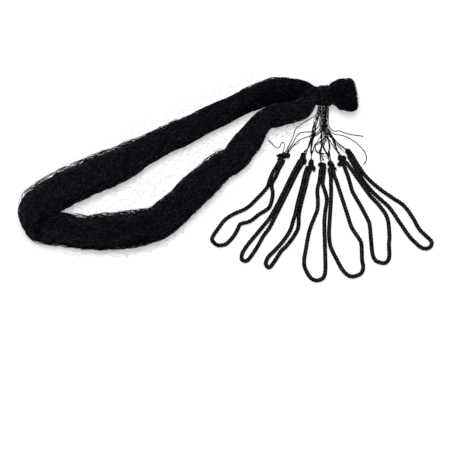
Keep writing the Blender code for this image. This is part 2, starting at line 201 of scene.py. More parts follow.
# each: dark and light tone, patch and fibre scale, roughness, gloss, bump
finish_net = black_thread("net_thread", (0.0047, 0.0046, 0.0072), (0.0930, 0.0920, 0.1200),
                          60.0, 1000.0, 0.70, 0.02, 0.5)
# painted shade: the body under the threads is darker than the net thread, as the depth between them
finish_body_shade = black_thread("net_shade", (0.0024, 0.0024, 0.0037), (0.0170, 0.0170, 0.0215),
                           90.0, 1000.0, 0.90, 0.01, 0.9)
finish_cord = black_thread("braided_cord", (0.0020, 0.0020, 0.0031), (0.0680, 0.0680, 0.0840),
                           120.0, 1400.0, 0.70, 0.02, 0.6)
finish_string = black_thread("twisted_string", (0.0032, 0.0032, 0.0044), (0.0300, 0.0300, 0.0370),
                             200.0, 4000.0, 0.70, 0.02, 0.4)
print("finishes:", len(bpy.data.materials))

# %% [markdown]
# Every cord, string and net thread is a thin tube that follows a line.  One helper sweeps
# a whole batch of them at once: it takes an array of lines, each with the same number of
# points, and lays a ring of a few corners round every point.  Tubes by the thousand would
# be slow one by one with operators, so this helper writes the mesh's arrays directly.

# %% Sweep many tubes at once
UP = np.array([0.0, 0.0, 1.0])


def unit(vectors):
    """Each vector of an array, made one long."""
    return vectors / np.maximum(np.linalg.norm(vectors, axis=-1, keepdims=True), 1e-12)


def sweep(lines, guide, width, depth, sides):
    """Corners, quads and caps of tubes along lines of shape (tubes, points, 3).

    Each ring's depth points along guide.  Width and depth are half sizes, in the lines' unit.
    """
    tubes, points, _ = lines.shape
    along = unit(np.gradient(lines, axis=1))
    across = unit(np.cross(along, guide))
    out = np.cross(across, along)
    turn = np.arange(sides) * math.tau / sides + 0.5 * math.pi
    width = np.broadcast_to(np.asarray(width, dtype=float), (tubes, points))[..., None, None]
    depth = np.broadcast_to(np.asarray(depth, dtype=float), (tubes, points))[..., None, None]
    rings = (lines[:, :, None, :]
             + across[:, :, None, :] * np.cos(turn)[None, None, :, None] * width
             + out[:, :, None, :] * np.sin(turn)[None, None, :, None] * depth)
    corners = rings.reshape(-1, 3)
    ring = np.arange(sides)
    tube_start = np.arange(tubes)[:, None] * points * sides
    ring_start = tube_start[:, :, None] + np.arange(points - 1)[None, :, None] * sides
    first = ring_start + ring
    second = ring_start + (ring + 1) % sides
    quads = np.stack([first, second, second + sides, first + sides], axis=-1).reshape(-1, 4)
    caps = np.concatenate([tube_start + ring[::-1], tube_start + (points - 1) * sides + ring])
    return corners, quads, caps


def mesh_from(name, built, finish):
    """One object from pairs of a sweep in plan millimetres and its tones.

    The tones of a sweep are one value a tube, or one value a point of each tube.
    """
    corner_list, loops, starts, tone_list = [], [], [], []
    base, filled = 0, 0
    for (corners, quads, caps), tone in built:
        corner_list.append(corners)
        tone = np.asarray(tone, dtype=float).ravel()
        tone_list.append(np.repeat(tone, len(corners) // len(tone)))
        for faces in (quads, caps):
            count, size = faces.shape
            loops.append((faces + base).ravel())
            starts.append(filled + np.arange(count) * size)
            filled += count * size
        base += len(corners)
    corners = np.concatenate(corner_list)
    corners[:, 2] = np.maximum(corners[:, 2], 0.0)   # nothing goes below the table
    corners = metres_array(corners)
    mesh = bpy.data.meshes.new(name)
    mesh.vertices.add(len(corners))
    mesh.vertices.foreach_set("co", corners.astype(np.float32).ravel())
    mesh.loops.add(filled)
    mesh.loops.foreach_set("vertex_index", np.concatenate(loops).astype(np.int32))
    starts = np.concatenate(starts).astype(np.int32)
    mesh.polygons.add(len(starts))
    mesh.polygons.foreach_set("loop_start", starts)
    mesh.update(calc_edges=True)
    mesh.validate()
    tone_data = mesh.attributes.new("tone", "FLOAT", "POINT")
    tone_data.data.foreach_set("value", np.concatenate(tone_list).astype(np.float32))
    mesh.shade_smooth()
    mesh.materials.append(finish)
    piece = bpy.data.objects.new(name, mesh)
    bpy.context.collection.objects.link(piece)
    return piece


TONE_SCATTER = 0.10             # how much the tone changes along a thread
GLINT_STEP = 0.56               # painted glint: how much lighter a stretch of thread is painted


def thread_tones(shape, rng, base, glint_share=0.13):
    """Mostly deep tones, with painted glints: a lighter tone where a thread would catch the light."""
    return rng.normal(base, TONE_SCATTER, shape) + GLINT_STEP * (rng.random(shape) < glint_share)


# %% [markdown]
# A cord's route is a short list of plan points, the same that its solid follows.  A smooth
# curve runs through them all, and it is then read at even steps.

# %% Smooth routes
def curve_value(before, start, end, after, share):
    """A point of a Catmull-Rom curve between start and end."""
    return 0.5 * (2 * start + (end - before) * share
                  + (2 * before - 5 * start + 4 * end - after) * share ** 2
                  + (3 * start - before - 3 * end + after) * share ** 3)


def smooth_line(points, steps=12):
    """The route's points with more between each two, on one smooth curve."""
    rows = np.asarray(points, dtype=float)
    ends = np.concatenate([rows[:1], rows, rows[-1:]])
    result = [curve_value(*ends[index:index + 4], step / steps)
              for index in range(len(rows) - 1) for step in range(steps)]
    return np.array([*result, rows[-1]])


def line_run(line):
    """The length along a line up to each of its points."""
    return np.concatenate([[0.0], np.cumsum(np.linalg.norm(np.diff(line, axis=0), axis=1))])


def even_line(points, spacing):
    """Points at about the given spacing along the smooth curve of a route."""
    fine = smooth_line(points)
    run = line_run(fine)
    count = max(4, round(run[-1] / spacing)) + 1
    wanted = np.linspace(0.0, run[-1], count)
    return np.stack([np.interp(wanted, run, fine[:, k]) for k in range(fine.shape[1])], axis=1)


def line_length(line):
    """The whole length of a line of points."""
    return float(np.linalg.norm(np.diff(line, axis=0), axis=1).sum())


def rolling_mean(rows, count):
    """Each column of rows, smoothed by a mean over a few of them."""
    return np.stack([np.convolve(column, np.ones(count) / count, "same") for column in rows.T], axis=1)


def distance_to_line(points, line):
    """Plan distance from points to a line of points."""
    fine = even_line(line, 3.0)
    return np.sqrt(((points[:, None, :2] - fine[None, :, :2]) ** 2).sum(axis=2)).min(axis=1)


# %% [markdown]
# The pole loops are braided cord.  Eight flat carriers wind round the cord, four each way,
# and every crossing passes over one and under the next.  Winding them for real gives the
# knobbly outline and the small shadows that a printed pattern would not.

# %% Braid cord along a line
CORD = 4.0                      # cord diameter
CARRIERS_EACH_WAY = 4
FULLNESS = 1.19                 # so drawn, the braid is 4.5 wide over its crowns
# the lengths of a braid on this cord, before it is drawn fuller
BRAID_PITCH = 12.5              # run of cord to one turn of a carrier
CARRIER_RADIUS = 1.52           # from the middle of the cord to the middle of a carrier
CROWN_RISE = 0.21               # how far a carrier rises over one crossing and dips at the next
CARRIER_HALF = (0.78, 0.36)     # half width and half thickness of a carrier
CORE_RADIUS = 1.30              # the inside that shows between the carriers, painted darker as the shade between them
# rows: which way the carriers turn, where the first starts, tone, and painted highlight on a crown
BRAID_WAYS = ((1.0, 0.0, -0.06, 0.20), (-1.0, 45.0, -0.26, 0.08))
FIBRE_REACH = (0.25, 0.85)      # how far a fibre stands out of a cord, least and most
FIBRE_HALF = 0.09               # half thickness of a fibre
FIBRE_GUIDE = np.array([0.3, 0.2, 1.0])   # slanted, since a fibre may stand straight up


def line_frames(line):
    """Unit vectors along, sideways and upward at each point of a line."""
    along = unit(np.gradient(line, axis=0))
    upward = np.zeros_like(along)
    upward[0] = unit(np.cross(np.cross(along[0], UP), along[0]))
    for index in range(1, len(line)):
        carried = upward[index - 1] - along[index] * upward[index - 1].dot(along[index])
        upward[index] = carried / np.linalg.norm(carried)
    return along, np.cross(along, upward), upward


def surface_fibres(line, count, radius, rng):
    """Short fibre ends that stand out of a cord, and a tone for each."""
    _, side, up = line_frames(line)
    at = rng.integers(2, len(line) - 2, count)
    angle = rng.uniform(0.0, math.tau, count)[:, None]
    out = side[at] * np.cos(angle) + up[at] * np.sin(angle)
    lean = rng.normal(0.0, 0.7, (count, 1)) * unit(line[at + 1] - line[at - 1])
    reach = rng.uniform(*FIBRE_REACH, (count, 1))
    share = np.array([0.0, 0.5, 1.0])[None, :, None]
    start = line[at] + out * radius * 0.9
    lines = start[:, None, :] + share * (reach * (out + lean))[:, None, :]
    lines = lines + (share * (1.0 - share)) * (0.5 * reach * lean)[:, None, :]
    lines[..., 2] = np.maximum(lines[..., 2], 0.1)
    return sweep(lines, FIBRE_GUIDE, FIBRE_HALF, FIBRE_HALF, 3), rng.uniform(-0.2, 0.4, count)


def braid(line, diameter, rng):
    """A braided cord along a line: pairs of a sweep in millimetres and its tones."""
    scale = diameter / CORD * FULLNESS
    run = line_run(line)
    _, side, up = line_frames(line)
    turned = run / (BRAID_PITCH * scale) * 360.0
    # the two ways cross at every 45 degrees of turn, and each is on top at every second crossing
    beat = math.pi * (turned - 22.5) / 45.0
    half_width, half_thickness = CARRIER_HALF
    carriers, guides, widths, tones = [], [], [], []
    for way, offset, tone, crown_highlight in BRAID_WAYS:
        crown = way * np.cos(beat)
        for index in range(CARRIERS_EACH_WAY):
            angle = np.radians(index * 90.0 + offset + way * turned)
            radius = scale * (CARRIER_RADIUS + CROWN_RISE * crown) + rng.normal(0.0, 0.05)
            out = side * np.cos(angle)[:, None] + up * np.sin(angle)[:, None]
            carriers.append(line + out * radius[:, None])
            guides.append(out)
            widths.append(scale * half_width * (1.0 + 0.08 * rng.standard_normal()))
            # painted light and shade: crowns and the carriers' upward faces are lighter, their sides and
            # undersides darker
            upward = 0.55 * (np.maximum(out[:, 2], -0.2) - 0.55)
            tones.append(tone + crown_highlight * crown + upward + rng.normal(0.0, 0.22, len(run)))
    tubes = sweep(np.array(carriers), np.array(guides), np.array(widths)[:, None],
                  scale * half_thickness, 4)
    core_radius = scale * CORE_RADIUS
    core = sweep(line[None, :, :], up[None, :, :], core_radius, core_radius, 6)
    fibres = surface_fibres(line, max(12, round(run[-1])), 0.5 * diameter, rng)
    # the core's tone of -0.35 is painted shade between the carriers
    return [(tubes, tones), (core, -0.35), fibres]


# %% Pole loop routes
# plan points of the middle of each cord, the same that its solid follows
POLE_LOOPS = [
    [(101.5, 3.6), (94.8, -8), (91, -17), (87, -29), (76, -42), (65, -53), (51, -60), (41, -67),
     (33, -78), (27, -88), (28, -93), (33, -97), (38, -97), (43, -95), (50, -87), (55, -78), (58, -72),
     (68, -69), (78, -61), (84, -57), (89.6, -52.4), (92.4, -45), (93.9, -35), (93, -25), (97, -17),
     (101, -8), (105.7, 2.5)],
    [(123.2, 2.2), (117, -9), (111.3, -21.2), (106.7, -31.5), (100.5, -44.1), (93.8, -57.1),
     (87.7, -68.1), (78.5, -80.1), (67.4, -94.2), (62.7, -101.1), (59.5, -107.3), (59.1, -113),
     (62, -115.4), (66.4, -113.7), (75.1, -100.8), (82.8, -86.6), (90, -76), (98, -61), (103.2, -49.8),
     (110, -35), (115.9, -22.4), (121.4, -11), (127.2, 0.1)],
    [(131.7, -5.7), (128.7, -16), (126.2, -27.1), (123.6, -37.1), (120.4, -49.1), (117, -63), (113, -78),
     (104.8, -91.7), (93.7, -104.7), (88.4, -110.3), (85.6, -116.2), (85.4, -119.8), (89, -123),
     (94, -117), (101.8, -104.7), (108, -98), (116, -87), (121, -77), (122.5, -64), (125, -49),
     (128.1, -36.9), (131.4, -24.9), (133.6, -14), (135.8, -8.2)],
    [(147.3, -8.5), (145.6, -19.1), (143.4, -31), (143.6, -43), (143.1, -53.7), (139, -65),
     (135.7, -73.3), (132.5, -84.1), (128.7, -104.1), (127, -114), (127.4, -122.2), (131, -131),
     (135, -136), (140, -138), (146, -136), (149, -131), (150, -121), (150, -91), (150, -73),
     (151, -60), (153, -48), (153.4, -40), (151, -30), (150, -23), (151.6, -8.9)],
    [(157.4, -8.4), (158.5, -19.1), (158.6, -34), (157.6, -50), (155.1, -79), (155.2, -91.1),
     (156.8, -100.5), (164, -117), (168, -125), (173, -131), (178.1, -133.4), (183.7, -132.4),
     (189, -129), (191, -122), (190, -114), (190, -97), (188, -90), (180, -76), (175, -58), (169, -36),
     (164.5, -19), (162.2, -8.8)],
    [(173.3, -1.4), (177.7, -14.2), (180.3, -25.3), (183, -35), (191, -51), (197.9, -66.7),
     (199.9, -74.1), (201, -98), (202, -109), (205, -115), (209, -117), (214, -118), (218, -115),
     (220, -109), (220, -97), (221, -85), (219.6, -65.2), (212, -51), (201.4, -39), (192, -24.5),
     (184, -11.5), (177.3, 0.6)],
    [(180.2, 7.6), (185.5, -2), (190.5, -11), (196, -20.5), (206.5, -35), (218.7, -48.3),
     (224.4, -55.5), (234, -72), (243, -87), (248.6, -93.4), (254, -99), (260, -101), (265, -99),
     (267, -94), (264.4, -89.6), (254.4, -78.5), (247.1, -63.6), (238.2, -50), (226.8, -41.2),
     (213.7, -31), (200.5, -18), (190.9, -2.4), (184.2, 9.9)],
]
# %% Knot places
# each knot: its place, its round turns as (dx, dy, radius), its cut ends as (dx, dy, degrees,
# length), and its collar, where the loop comes in, as (dx, dy, degrees)
KNOTS = [
    dict(at=(106.5, 9.5), lobes=[(-3.4, -0.4, 3.3), (0.6, 0.6, 3.5), (4.4, 0.6, 3.2)],
         stubs=[(-4.6, 0.6, 165, 3.2)], collar=(-2.4, -2.6, -125)),
    dict(at=(128.4, 7.2), lobes=[(0.2, 3.6, 2.9), (-0.6, 0.2, 3.2), (1.4, -3.0, 2.7)],
         stubs=[(1.8, -4.0, -88, 3.2)], collar=(-2.2, -2.4, -118)),
    dict(at=(137.0, -0.4), lobes=[(0.3, 3.2, 2.7), (0.0, -0.6, 3.1)],
         stubs=[(1.8, -2.2, -48, 4.4), (2.2, -2.8, -78, 6.0)], collar=(-1.0, -3.2, -113)),
    dict(at=(149.6, -2.0), lobes=[(-2.0, 0.6, 2.9), (1.7, 0.4, 2.8)],
         stubs=[(2.4, -2.0, -34, 2.4)], collar=(-0.3, -3.4, -92)),
    dict(at=(158.8, -0.6), lobes=[(-0.6, 1.0, 3.1), (1.4, -1.4, 3.0)],
         stubs=[(3.2, -3.2, -44, 4.4)], collar=(0.6, -3.4, -84)),
    dict(at=(171.6, 5.2), lobes=[(-1.4, 1.9, 3.4), (1.8, 1.2, 3.3), (0.8, -1.2, 3.3)],
         stubs=[(-1.8, -2.6, -126, 5.4), (0.0, -3.4, -118, 5.0)], collar=(1.8, -2.6, -64)),
    dict(at=(179.2, 14.2), lobes=[(-0.9, 1.0, 3.3), (1.5, -1.5, 3.0)],
         stubs=[], collar=(1.2, -2.6, -58)),
]
STUB_HEIGHT = 2.15              # height of the middle of a cut end
KNOT_CORD = 3.1                 # the braid, pulled thin in the knot
LEG_CORD = 2.9                  # and where it leaves the knot in its collar
STUB_CORD = 3.0                 # and in its cut ends
FRAY_FIBRES = 22
FRAY_REACH = (0.7, 1.7)         # length of a frayed fibre, least and most
FRAY_HALF = (0.13, 0.07)        # its half thickness at the cut and at its tip

# %% [markdown]
# Both sides of a loop leave one knot, so they lie against each other until the loop opens.
# Where the two sides of a route run close, they are drawn together until they touch, and
# both ends of the cord run on into the knot that closes the loop.

# %% Bring the sides of a loop together
BRAID_STEP = 0.80               # spacing of the points that the braid follows
TOUCHING = 3.9                  # distance of the two sides of a loop where they touch
SAME_STRETCH = 14.0             # closer than this along the cord, two points are on one side
DRAWN_GAP = 2.2                 # sides with more air than this between them stay apart
KNOT_MIDDLE = 2.6               # height of the middle of a knot
INTO_KNOT = 2.4                 # how far a cord's end runs on into its knot


def sides_together(line):
    """The line of a loop, with its two sides drawn together where they lie close."""
    run = line_run(line)
    apart = np.linalg.norm(line[:, None, :] - line[None, :, :], axis=2)
    apart[np.abs(run[:, None] - run[None, :]) < SAME_STRETCH] = np.inf
    nearest = apart.argmin(axis=1)
    gap = apart.min(axis=1) - TOUCHING
    near = np.clip((DRAWN_GAP - gap) / 0.8, 0.0, 1.0)
    shift = 0.5 * (np.clip(gap, -0.2, DRAWN_GAP) * near)[:, None] * unit(line[nearest] - line)
    return line + rolling_mean(shift, 9)


def into_knot(points, knot):
    """The route of a loop with both ends running on into its knot."""
    centre = np.array([*knot["at"], KNOT_MIDDLE])
    ends = []
    for point in (points[0], points[-1]):
        way = centre - np.array(point)
        reach = min(INTO_KNOT, 0.75 * np.linalg.norm(way))
        ends.append(tuple(np.array(point) + reach * unit(way)))
    return [ends[0], *points, ends[1]]


# %% Make the seven pole loops
# Where the sixth and seventh loops lie side by side, their solids keep clear of each other but
# the cords touch.  Rows: which point of the route, and how far the drawn cord leans there.
LEANS = {
    6: [(-4, 0.6, 0.4), (-3, 0.8, 0.5), (-2, 0.8, 0.5), (-1, 0.5, 0.3)],
    7: [(1, -0.7, -0.4), (2, -0.8, -0.5), (3, -0.8, -0.5), (4, -0.5, -0.4)],
}


def drawn_line(number, points):
    """The line the braid follows: leaning, run into its knot and with its sides together."""
    drawn = [list(point) for point in points]
    for index, across, along in LEANS.get(number, []):
        drawn[index][0] += across
        drawn[index][1] += along
    return sides_together(even_line(into_knot(drawn, KNOTS[number - 1]), BRAID_STEP))


def make_pole_loop(number, route):
    """One braided loop, which takes the place of its plain solid."""
    name = "pole_loop_%d" % number
    rng = np.random.default_rng(100 + number)
    points = [(x, y, 0.5 * CORD) for x, y in route]
    line = drawn_line(number, points)
    loop = mesh_from("braided_loop_%d" % number, braid(line, CORD, rng), finish_cord)
    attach(loop, "root")
    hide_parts(name)
    print(loop.name, round(line_length(line)), "mm of cord")


for number, route in enumerate(POLE_LOOPS, start=1):
    make_pole_loop(number, route)

# %% [markdown]
# Each shelf string is not one thread but up to seven fine ones that left the net together
# and wander round each other.  Each fine thread follows the string's route, and drifts to
# its sides by slow waves that fade out at the tie and at the knot.

# %% Shelf string and loose thread routes
# plan points and heights of each middle line, the same that its solid follows
THREADS = {
    "shelf_string_1a": [(146.4, 68.6, 9.2), (145.8, 65.0, 4.2), (143.6, 61.6, 1.0), (138.2, 57.6, 0.4),
        (131.8, 53.4, 0.4), (125.0, 48.6, 0.4), (120.3, 43.2, 0.4), (118.2, 36.0, 0.4),
        (114.6, 27.6, 0.6), (110.2, 18.0, 2.6), (108.5, 13.8, 3.9)],
    "shelf_string_1b": [(149.7, 68.4, 9.1), (149.5, 65.0, 4.2), (148.9, 61.0, 1.4), (148.0, 54.0, 0.5),
        (146.6, 47.6, 1.4), (143.2, 42.6, 1.9), (138.4, 40.6, 1.7), (131.8, 40.6, 0.5),
        (125.9, 39.3, 0.4), (121.2, 34.7, 0.4), (117.6, 27.4, 0.5), (112.2, 18.0, 2.4),
        (110.2, 13.8, 3.8)],
    "shelf_string_1c": [(150.8, 68.8, 9.7), (150.6, 65.0, 4.2), (150.1, 61.0, 1.4), (149.2, 54.0, 0.4),
        (148.0, 45.2, 0.6), (144.4, 39.2, 1.8), (137.4, 35.4, 1.8), (130.7, 33.6, 0.5),
        (124.9, 30.5, 0.4), (119.6, 26.0, 0.5), (114.0, 18.0, 2.2), (111.9, 13.7, 3.6)],
    "shelf_string_2": [(147.5, 68.2, 8.8), (147.1, 65.0, 4.2), (145.8, 61.0, 1.2), (143.8, 56.0, 0.4),
        (141.4, 49.0, 0.4), (139.0, 36.5, 0.4), (136.6, 29.0, 0.4), (133.4, 19.5, 0.8),
        (129.6, 14.1, 3.1)],
    "shelf_string_3": [(148.6, 68.2, 8.8), (148.3, 65.0, 4.2), (147.2, 61.0, 1.2), (145.6, 55.0, 0.4),
        (143.6, 48.6, 0.4), (140.8, 36.8, 0.4), (138.2, 25.6, 0.4), (137.8, 12.0, 0.9),
        (137.4, 5.9, 2.7)],
    "shelf_string_4": [(151.9, 68.4, 9.1), (151.7, 65.0, 4.2), (151.3, 61.0, 1.2), (150.6, 54.0, 0.4),
        (149.8, 42.0, 0.4), (150.0, 30.0, 0.4), (148.7, 22.0, 0.4), (147.6, 12.8, 0.4),
        (147.9, 6.6, 0.8), (148.3, 1.9, 2.7)],
    "shelf_string_5a": [(153.0, 68.2, 8.8), (152.8, 65.0, 4.2), (152.4, 61.0, 1.2), (151.8, 54.0, 0.4),
        (151.3, 44.0, 0.4), (153.8, 31.0, 0.4), (152.0, 22.0, 0.4), (155.2, 12.8, 0.4),
        (157.7, 3.7, 2.7)],
    "shelf_string_5b": [(154.1, 68.2, 8.8), (153.9, 65.0, 4.2), (153.5, 61.0, 1.2), (153.0, 54.0, 0.4),
        (152.8, 44.3, 0.4), (156.2, 34.0, 0.4), (158.4, 23.7, 0.4), (158.0, 14.7, 0.4),
        (159.2, 3.7, 2.7)],
    "shelf_string_6": [(155.2, 68.6, 9.4), (155.0, 65.0, 4.2), (154.6, 61.0, 1.2), (154.2, 54.0, 0.4),
        (154.2, 45.3, 0.4), (158.2, 37.4, 0.4), (163.6, 27.4, 0.4), (167.8, 15.0, 1.4),
        (169.1, 10.8, 2.9)],
    "shelf_string_7": [(156.3, 68.9, 9.9), (156.1, 65.0, 4.2), (155.7, 61.0, 1.2), (155.4, 54.0, 0.4),
        (155.6, 46.3, 0.4), (161.2, 36.0, 0.4), (168.2, 26.4, 0.4), (174.4, 19.8, 2.2),
        (176.1, 18.3, 3.1)],
    "loose_thread_1": [(105.3, 13.8, 3.3), (106.4, 17.2, 1.4), (107.6, 22.6, 0.5), (107.2, 27.4, 0.4),
        (104.4, 26.6, 0.4), (101.6, 21.0, 0.4), (97.5, 21.6, 0.4), (94.3, 25.6, 0.4),
        (89.4, 30.5, 0.4)],
    "loose_thread_2": [(157.4, 68.4, 9.1), (157.2, 65.0, 4.2), (156.9, 61.0, 1.2), (156.7, 54.0, 0.4),
        (157.0, 47.3, 0.4), (163.4, 38.6, 0.4), (173.0, 36.2, 0.4), (181.2, 32.6, 0.4),
        (188.3, 27.4, 0.4), (194.7, 20.1, 0.4), (198.6, 13.8, 0.4), (199.4, 8.4, 0.4),
        (198.4, 3.4, 0.4), (195.6, 0.4, 0.4)],
    "loose_thread_3": [(158.5, 68.4, 9.1), (158.4, 65.0, 4.2), (158.2, 61.0, 1.2), (158.1, 54.0, 0.4),
        (158.8, 47.8, 0.4), (163.6, 41.8, 0.4), (169.8, 41.9, 0.4), (175.5, 39.6, 0.4),
        (183.8, 37.2, 0.4), (196.9, 35.2, 0.4)],
    "loose_thread_4": [(148.8, 35.4, 0.4), (146.6, 31.0, 0.4), (143.8, 26.4, 0.4), (142.4, 21.0, 0.4),
        (143.6, 16.2, 0.6), (147.6, 13.4, 1.7), (152.0, 13.2, 0.6)],
}

# %% Make the strings and loose threads
THREAD = 0.7                    # the string's own diameter, as its solid has it
FINE_THREAD = 0.70              # one fine thread in it
LONE_EXTRA = 0.42               # a thread that runs alone is drawn this much thicker
THREAD_SWELL = (0.75, 1.1)      # its thickness at its start and at its end, as shares
FINE_STEP = 0.9                 # spacing of the points that a fine thread follows
STRING_PATH_STEP = 3.6          # spacing of the path points worked out along each string's route
STRING_THREADS = {"1": (1, 0.4), "2": (7, 2.5), "3": (7, 2.5), "4": (6, 2.6), "5": (5, 2.6),
                  "6": (7, 2.5), "7": (7, 2.5)}   # loop number: threads, and how far they stray
DRIFT_SHARES = (0.52, 0.38, 0.12)   # of the slow turn, of the waves and of the ripples
TURN_RUN = (16.0, 26.0)         # run of string to one slow turn, least and most
WAVE, RIPPLE = 8.0, 3.2         # run of string to a radian of the waves and of the ripples
DRIFT_LIMIT = 1.95              # no thread strays farther than this from the route
RISE = 0.22                     # the threads that turn over the others lie higher by twice this


def fine_threads(route, count, spread, rng):
    """Centre lines of the fine threads of a string, all with the same number of points."""
    line = even_line(route, FINE_STEP)
    line[:, 2] = np.maximum(line[:, 2], 0.5 * THREAD)
    _, side, _ = line_frames(line)
    share = np.linspace(0.0, 1.0, len(line))
    run = share * line_length(line)
    fade = np.clip((share + 0.05) / 0.12, 0.0, 1.0) ** 0.7 * np.clip((1.0 - share) / 0.50, 0.38, 1.0)
    turning, waving, rippling = DRIFT_SHARES
    threads = []
    for index in range(count):
        phase = rng.uniform(0.0, math.tau, 3)
        stray = 0.45 if index % 2 == 0 else 1.0     # every second thread strays farther
        turn = index * math.tau / count + run / rng.uniform(*TURN_RUN) * math.tau
        drift = stray * spread * (turning * np.sin(turn) + waving * np.sin(run / WAVE + phase[0])
                                  + rippling * np.sin(run / RIPPLE + phase[1])) * fade
        drift = np.clip(drift, -DRIFT_LIMIT, DRIFT_LIMIT)
        rise = RISE * (1.0 + np.cos(turn)) * (0.25 + 0.75 * fade) + 0.10 * index
        threads.append(line + side * drift[:, None] + UP * rise[:, None])
    threads = np.array(threads)
    threads[..., 2] = np.maximum(threads[..., 2] - 0.20, 0.5 * FINE_THREAD)
    return threads


def make_string(name, route):
    """One string or loose thread, which takes the place of its plain solid."""
    rng = np.random.default_rng(sum(map(ord, name)))    # a seed of its own for each name
    loose = name.startswith("loose")
    count, spread = (1, 0.35) if loose else STRING_THREADS[name.split("_")[2][0]]
    threads = fine_threads(route, count, spread, rng)
    thickness = FINE_THREAD + (LONE_EXTRA if count == 1 else 0.0)
    half = 0.5 * thickness * np.linspace(*THREAD_SWELL, threads.shape[1])
    built = [(sweep(threads, UP, half, half, 6), rng.uniform(-0.3, 0.3, count))]
    string = mesh_from("fine_" + name, built, finish_string)
    centre = even_line(route, STRING_PATH_STEP)
    centre[:, 2] = np.maximum(centre[:, 2], 0.5 * THREAD)
    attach(string, "root")
    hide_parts(name)


for name, route in THREADS.items():
    make_string(name, route)

# %% [markdown]
# Thread this fine never runs clean from tie to knot.  Odd ends catch on their neighbours
# and cross from string to string, and they lie over the fan as a loose tangle.

# %% Make the tangle between the strings
TANGLE_SPACING = 0.85           # between threads that run side by side
TANGLE_ARCH = 0.9               # how high a thread lies over the others midway
# rows: threads side by side, half thickness, plan points
TANGLE = [
    (1, 0.26, [(142.3, 20.1), (144.2, 17.3), (146.7, 15.7)]),
    (1, 0.22, [(141.2, 17.9), (142.4, 16.0), (144.9, 14.0)]),
    (1, 0.34, [(146.7, 15.1), (151.1, 13.8), (155.6, 12.9), (157.1, 10.7)]),
    (1, 0.34, [(147.6, 13.5), (151.6, 10.7), (156.0, 8.0), (157.0, 6.9)]),
    (1, 0.28, [(151.4, 22.9), (153.3, 19.0), (155.2, 15.1), (156.4, 12.4)]),
    (1, 0.26, [(155.7, 34.6), (157.6, 29.6), (158.9, 22.9), (157.3, 17.9), (156.7, 13.5),
               (157.3, 8.0)]),
    (1, 0.28, [(142.9, 24.6), (146.4, 25.4), (150.0, 26.8), (153.6, 30.7), (155.7, 34.6)]),
    (3, 0.34, [(138.4, 13.4), (140.1, 17.0), (141.8, 22.3), (143.4, 25.7), (150.1, 30.7), (154.7, 34.6),
               (153.9, 40.7), (152.5, 45.8)]),
    (3, 0.34, [(139.6, 30.1), (140.9, 33.5), (145.7, 38.5), (151.4, 43.6), (152.4, 47.5)]),
    (2, 0.30, [(150.9, 46.8), (150.3, 40.2), (148.3, 32.4)]),
    (2, 0.32, [(153.2, 41.0), (155.2, 35.8), (159.7, 27.7), (164.9, 19.0), (168.7, 11.8)]),
    (2, 0.32, [(154.4, 42.3), (158.3, 37.1), (163.0, 30.4), (167.1, 25.1), (174.4, 14.9)]),
    (1, 0.30, [(153.7, 37.9), (158.5, 29.2), (163.4, 22.3), (167.7, 16.8), (171.0, 11.8)]),
    (3, 0.32, [(141.9, 39.1), (139.2, 32.3), (135.9, 23.0), (133.0, 17.4), (130.6, 12.3)]),
    (2, 0.32, [(141.1, 39.8), (139.2, 30.4), (137.5, 21.2), (137.3, 11.2)]),
    (3, 0.32, [(150.3, 29.2), (150.4, 23.9), (147.8, 18.0), (147.1, 14.5), (149.1, 10.2), (151.0, 4.4)]),
    (2, 0.26, [(155.8, 32.9), (157.6, 26.7), (158.9, 20.5), (157.0, 14.3), (158.0, 8.1)]),
    (1, 0.34, [(125.3, 28.5), (118.5, 23.0), (113.3, 18.0), (109.9, 13.1)]),
]


def make_tangle():
    """All the crossing threads as one piece, which belongs with the fourth string."""
    rng = np.random.default_rng(55)
    built = []
    for count, half, route in TANGLE:
        line = even_line([(x, y, 0.0) for x, y in route], FINE_STEP)
        _, side, _ = line_frames(line)
        share = np.linspace(0.0, 1.0, len(line))
        for index in range(count):
            beside = (index - 0.5 * (count - 1)) * TANGLE_SPACING * np.cos(share * 7.0 + index)
            beside = beside + 0.25 * np.sin(share * 13.0 + rng.uniform(0.0, 6.0))
            thread = line + side * beside[:, None]
            thread[:, 2] = 0.5 + TANGLE_ARCH * np.sin(math.pi * share) * rng.uniform(0.6, 1.0)
            tubes = sweep(thread[None, :, :], UP, half, half, 5)
            built.append((tubes, rng.uniform(-0.2, 0.2)))
    tangle = mesh_from("string_tangle", built, finish_string)
    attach(tangle, "root")
    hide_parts("shelf_string_4")
    print(tangle.name, len(tangle.data.polygons), "faces")


make_tangle()

# %% [markdown]
# Each loop is closed by a small overhand knot with its cut ends standing out.  Pulled tight,
# such a knot is a row of short round turns of the cord with one turn across them.  Each turn
# is the same braid on a small tilted ring, so the knot is knobbly from every side.  Cut ends
# fray, so each one is a short length of braid with a tuft of fibres at its end.

# %% Make the seven knots
def ring_turn(centre, radius, normal):
    """A closed turn of cord round a centre, in the plane of a normal."""
    normal = unit(np.asarray(normal, dtype=float))
    first = unit(np.cross(normal, [0.31, 0.52, 0.79]))
    second = np.cross(normal, first)
    turn = np.linspace(0.0, math.tau, max(16, round(radius * 13.0)))[:, None]
    line = centre + radius * (np.cos(turn) * first + np.sin(turn) * second)
    line[:, 2] = np.maximum(line[:, 2], 0.5 * KNOT_CORD)
    return line


